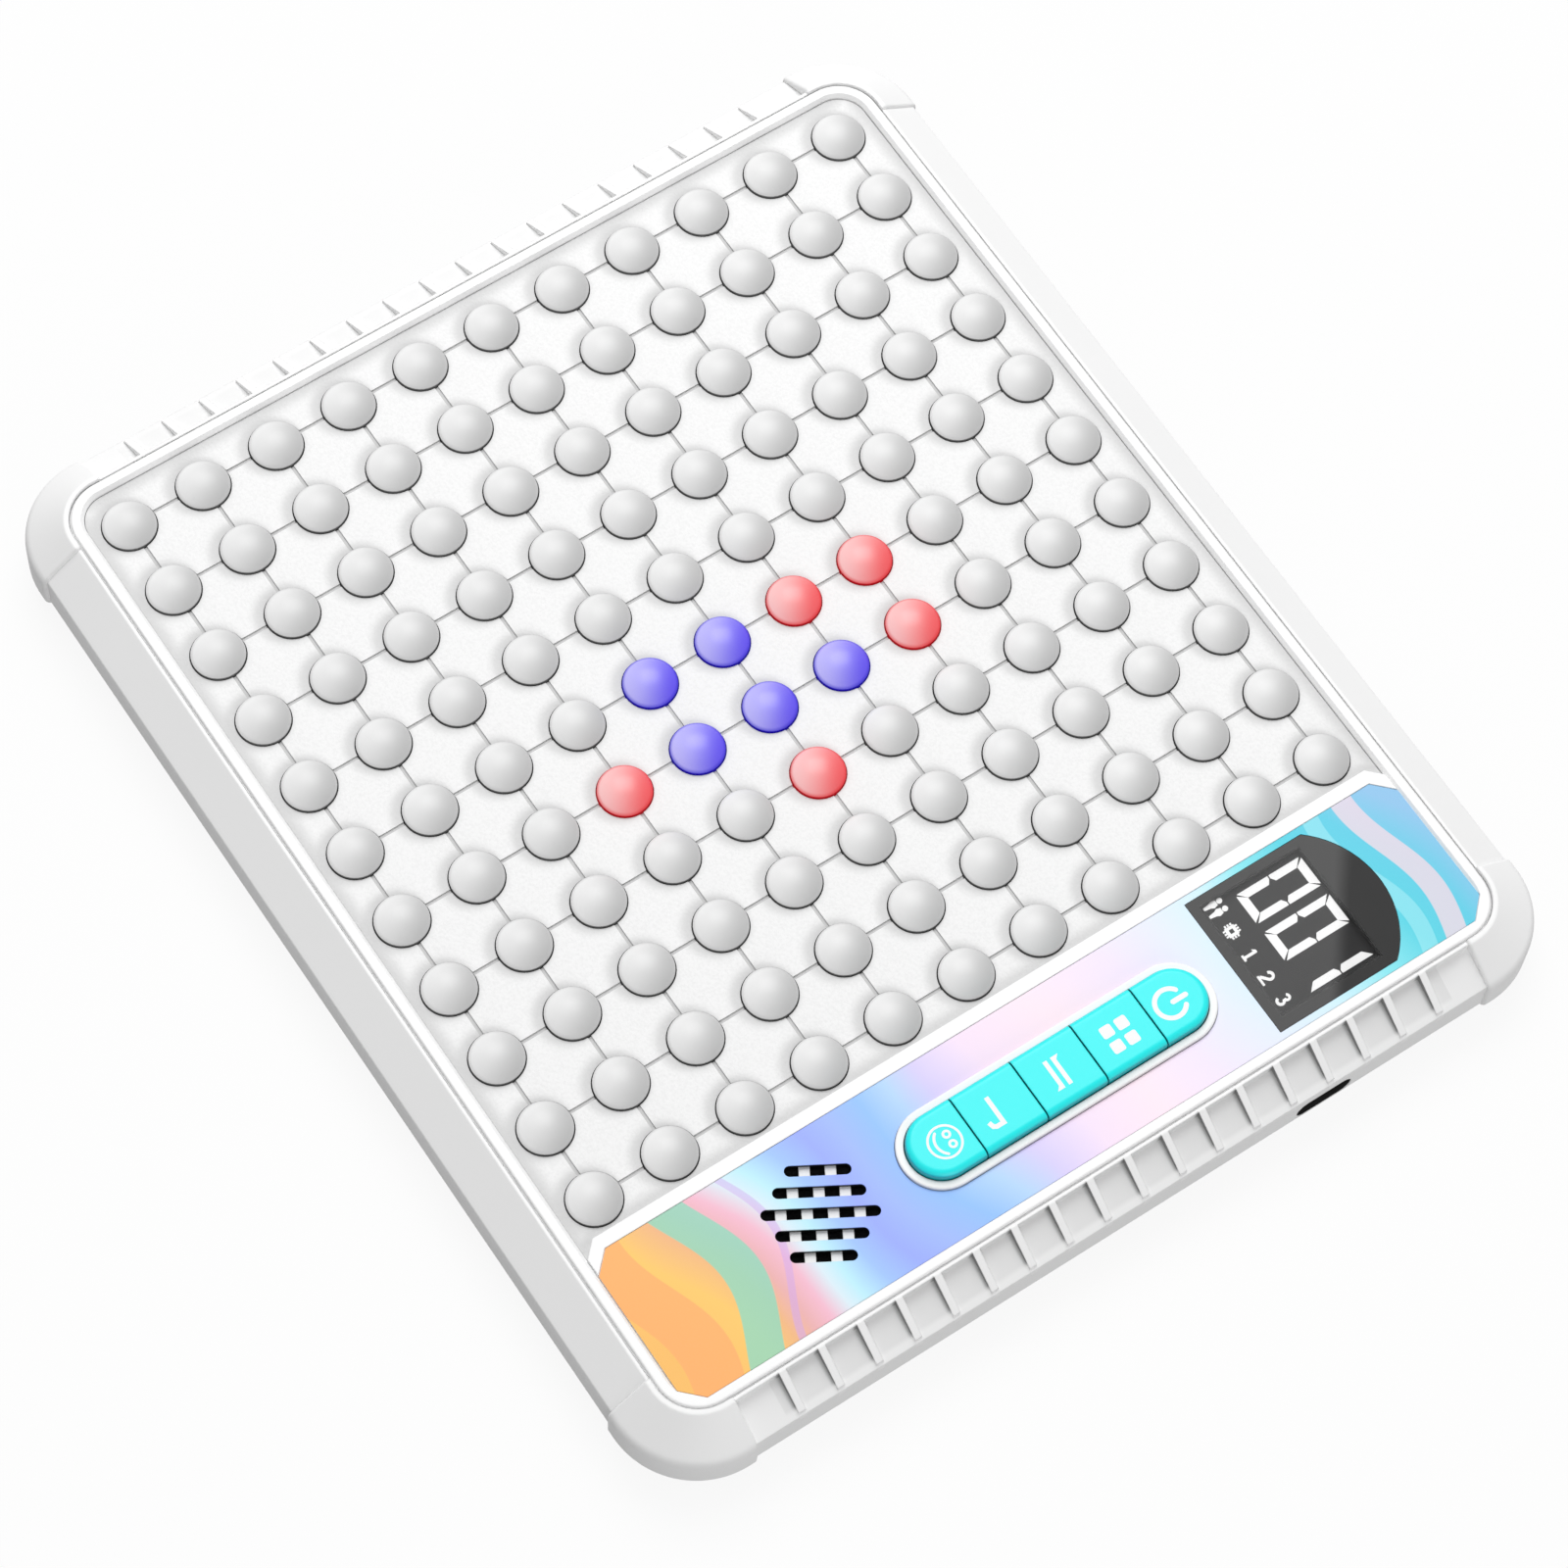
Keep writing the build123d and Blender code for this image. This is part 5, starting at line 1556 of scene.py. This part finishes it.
@dataclass
class Studio:
    """Pale floor, soft lamps, a plain world and the camera, in metres."""

    WHITE: ClassVar[tuple[int, ...]] = (1, 1, 1, 1)
    floor_half: float = 3.0
    floor_cloud: float = 120.0
    floor_dim: float = 0.985
    floor_shade: Shade = shade("#f2f2f2")
    floor_bounce: Shade = shade("#7a7a7a")
    floor_white: float = 0.9
    ambient: float = 0.40
    lamp_distance: float = 1.5
    lamps: tuple[SoftLamp, ...] = (
        SoftLamp("key_lamp", 17.0, 1.1, 150.0, 56.0), SoftLamp("side_lamp", 5.6, 0.9, -12.0, 16.0))
    camera_place: tuple[float, float, float] = (0.320054, -0.250719, 0.832931)
    camera_ahead: tuple[float, float, float] = (-0.33842676, 0.26944626, -0.90159084)
    camera_up: tuple[float, float, float] = (-0.75989072, 0.48685814, 0.43073803)
    lens: float = 120.962
    sensor: float = 36.0
    clip_start: float = 0.01

    def floor(self) -> None:
        """Lay the floor: dull where it lights the object, near white to the eye, with the shadow kept."""
        mesh = bmesh.new()
        bmesh.ops.create_grid(mesh, x_segments=4, y_segments=4, size=self.floor_half)
        data = bpy.data.meshes.new("floor")
        mesh.to_mesh(data)
        mesh.free()
        floor = added("floor", data)
        material = bpy.data.materials.new("pale_floor")
        recipe = Recipe(material)
        cloud = recipe.noise(self.floor_cloud)
        tone = recipe.blend(scaled(self.floor_shade, self.floor_dim), self.floor_shade, cloud)
        seen = self.seen_rays(recipe)
        tone = recipe.blend(self.floor_bounce, tone, seen)
        dull = recipe.wire("ShaderNodeBsdfDiffuse", {}, {"Color": tone}, "BSDF")
        glow = {"Color": self.WHITE, "Strength": 1.0}
        white = recipe.wire("ShaderNodeEmission", {}, glow, "Emission")
        sockets = {0: seen * self.floor_white, 1: dull, 2: white}
        mixed = recipe.wire("ShaderNodeMixShader", {}, sockets, "Shader")
        recipe.node("ShaderNodeOutputMaterial", {}, {"Surface": mixed})
        data.materials.append(material)

    @staticmethod
    def seen_rays(recipe: Recipe) -> Wire:
        """1 for rays that the eye, a gloss or a glass sees, and 0 for rays that light things.

        Args:
            recipe: Recipe of the material or of the world.

        Returns:
            The 1 or 0 of each ray.
        """
        path = recipe.node("ShaderNodeLightPath", {}, {})
        camera, gloss, through = (Wire(recipe, path.outputs[name]) for name in (
            "Is Camera Ray", "Is Glossy Ray", "Is Transmission Ray"))
        return recipe.maths("MAXIMUM", recipe.maths("MAXIMUM", camera, gloss), through)

    def world(self) -> None:
        """Light everything evenly, with white behind the object."""
        world = bpy.data.worlds.new("studio")
        bpy.context.scene.world = world
        recipe = Recipe(world)
        soft, white = (
            recipe.wire("ShaderNodeBackground", {}, {"Color": self.WHITE, "Strength": strength}, 0)
            for strength in (self.ambient, 1.0))
        sockets = {0: self.seen_rays(recipe), 1: soft, 2: white}
        mixed = recipe.wire("ShaderNodeMixShader", {}, sockets, "Shader")
        recipe.node("ShaderNodeOutputWorld", {}, {"Surface": mixed})

    def hang(self, soft: SoftLamp) -> None:
        """Hang one large soft lamp, turned to the object.

        Args:
            soft: The lamp's settings.
        """
        turn, lift = math.radians(soft.azimuth), math.radians(soft.elevation)
        away = Vector((math.cos(turn) * math.cos(lift), math.sin(turn) * math.cos(lift), math.sin(lift)))
        data = bpy.data.lights.new(soft.name, "AREA")
        data.shape = "SQUARE"
        data.size = soft.size
        data.energy = soft.power
        lamp = added(soft.name, data)
        lamp.location = away * self.lamp_distance
        lamp.rotation_euler = away.to_track_quat("Z", "Y").to_euler()

    def camera(self) -> None:
        """Set the camera at the photograph's place and angle."""
        data = bpy.data.cameras.new("camera")
        data.lens = self.lens
        data.sensor_width = self.sensor
        data.clip_start = self.clip_start
        camera = added("camera", data)
        ahead, up = Vector(self.camera_ahead).normalized(), Vector(self.camera_up)
        right = ahead.cross(up).normalized()
        columns = Matrix((right, right.cross(ahead), -ahead)).transposed()
        camera.matrix_world = Matrix.Translation(self.camera_place) @ columns.to_4x4()
        bpy.context.scene.camera = camera

    def build(self) -> None:
        """Set up camera, floor, world and lamps."""
        self.camera()
        self.floor()
        self.world()
        for soft in self.lamps:
            self.hang(soft)
        bpy.context.scene.view_settings.view_transform = "Standard"


def main() -> None:
    """Load the frame and build every sub-assembly in order."""
    logging.basicConfig(level=logging.INFO, format="%(message)s")
    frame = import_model()
    Studio().build()
    seen: set[str] = set()
    for assembly in (*OUTSIDE, Display(), FunctionButtons(), *INSIDE):
        names = assembly.build(frame)
        seen.update(names)
        for name in names:
            LOG.info("%s: %s", assembly.title, name)
    left = sorted(set(frame["nodes"]) - seen)
    if left:
        LOG.warning("without a finish: %s", ", ".join(left))


if __name__ == "__main__":
    main()
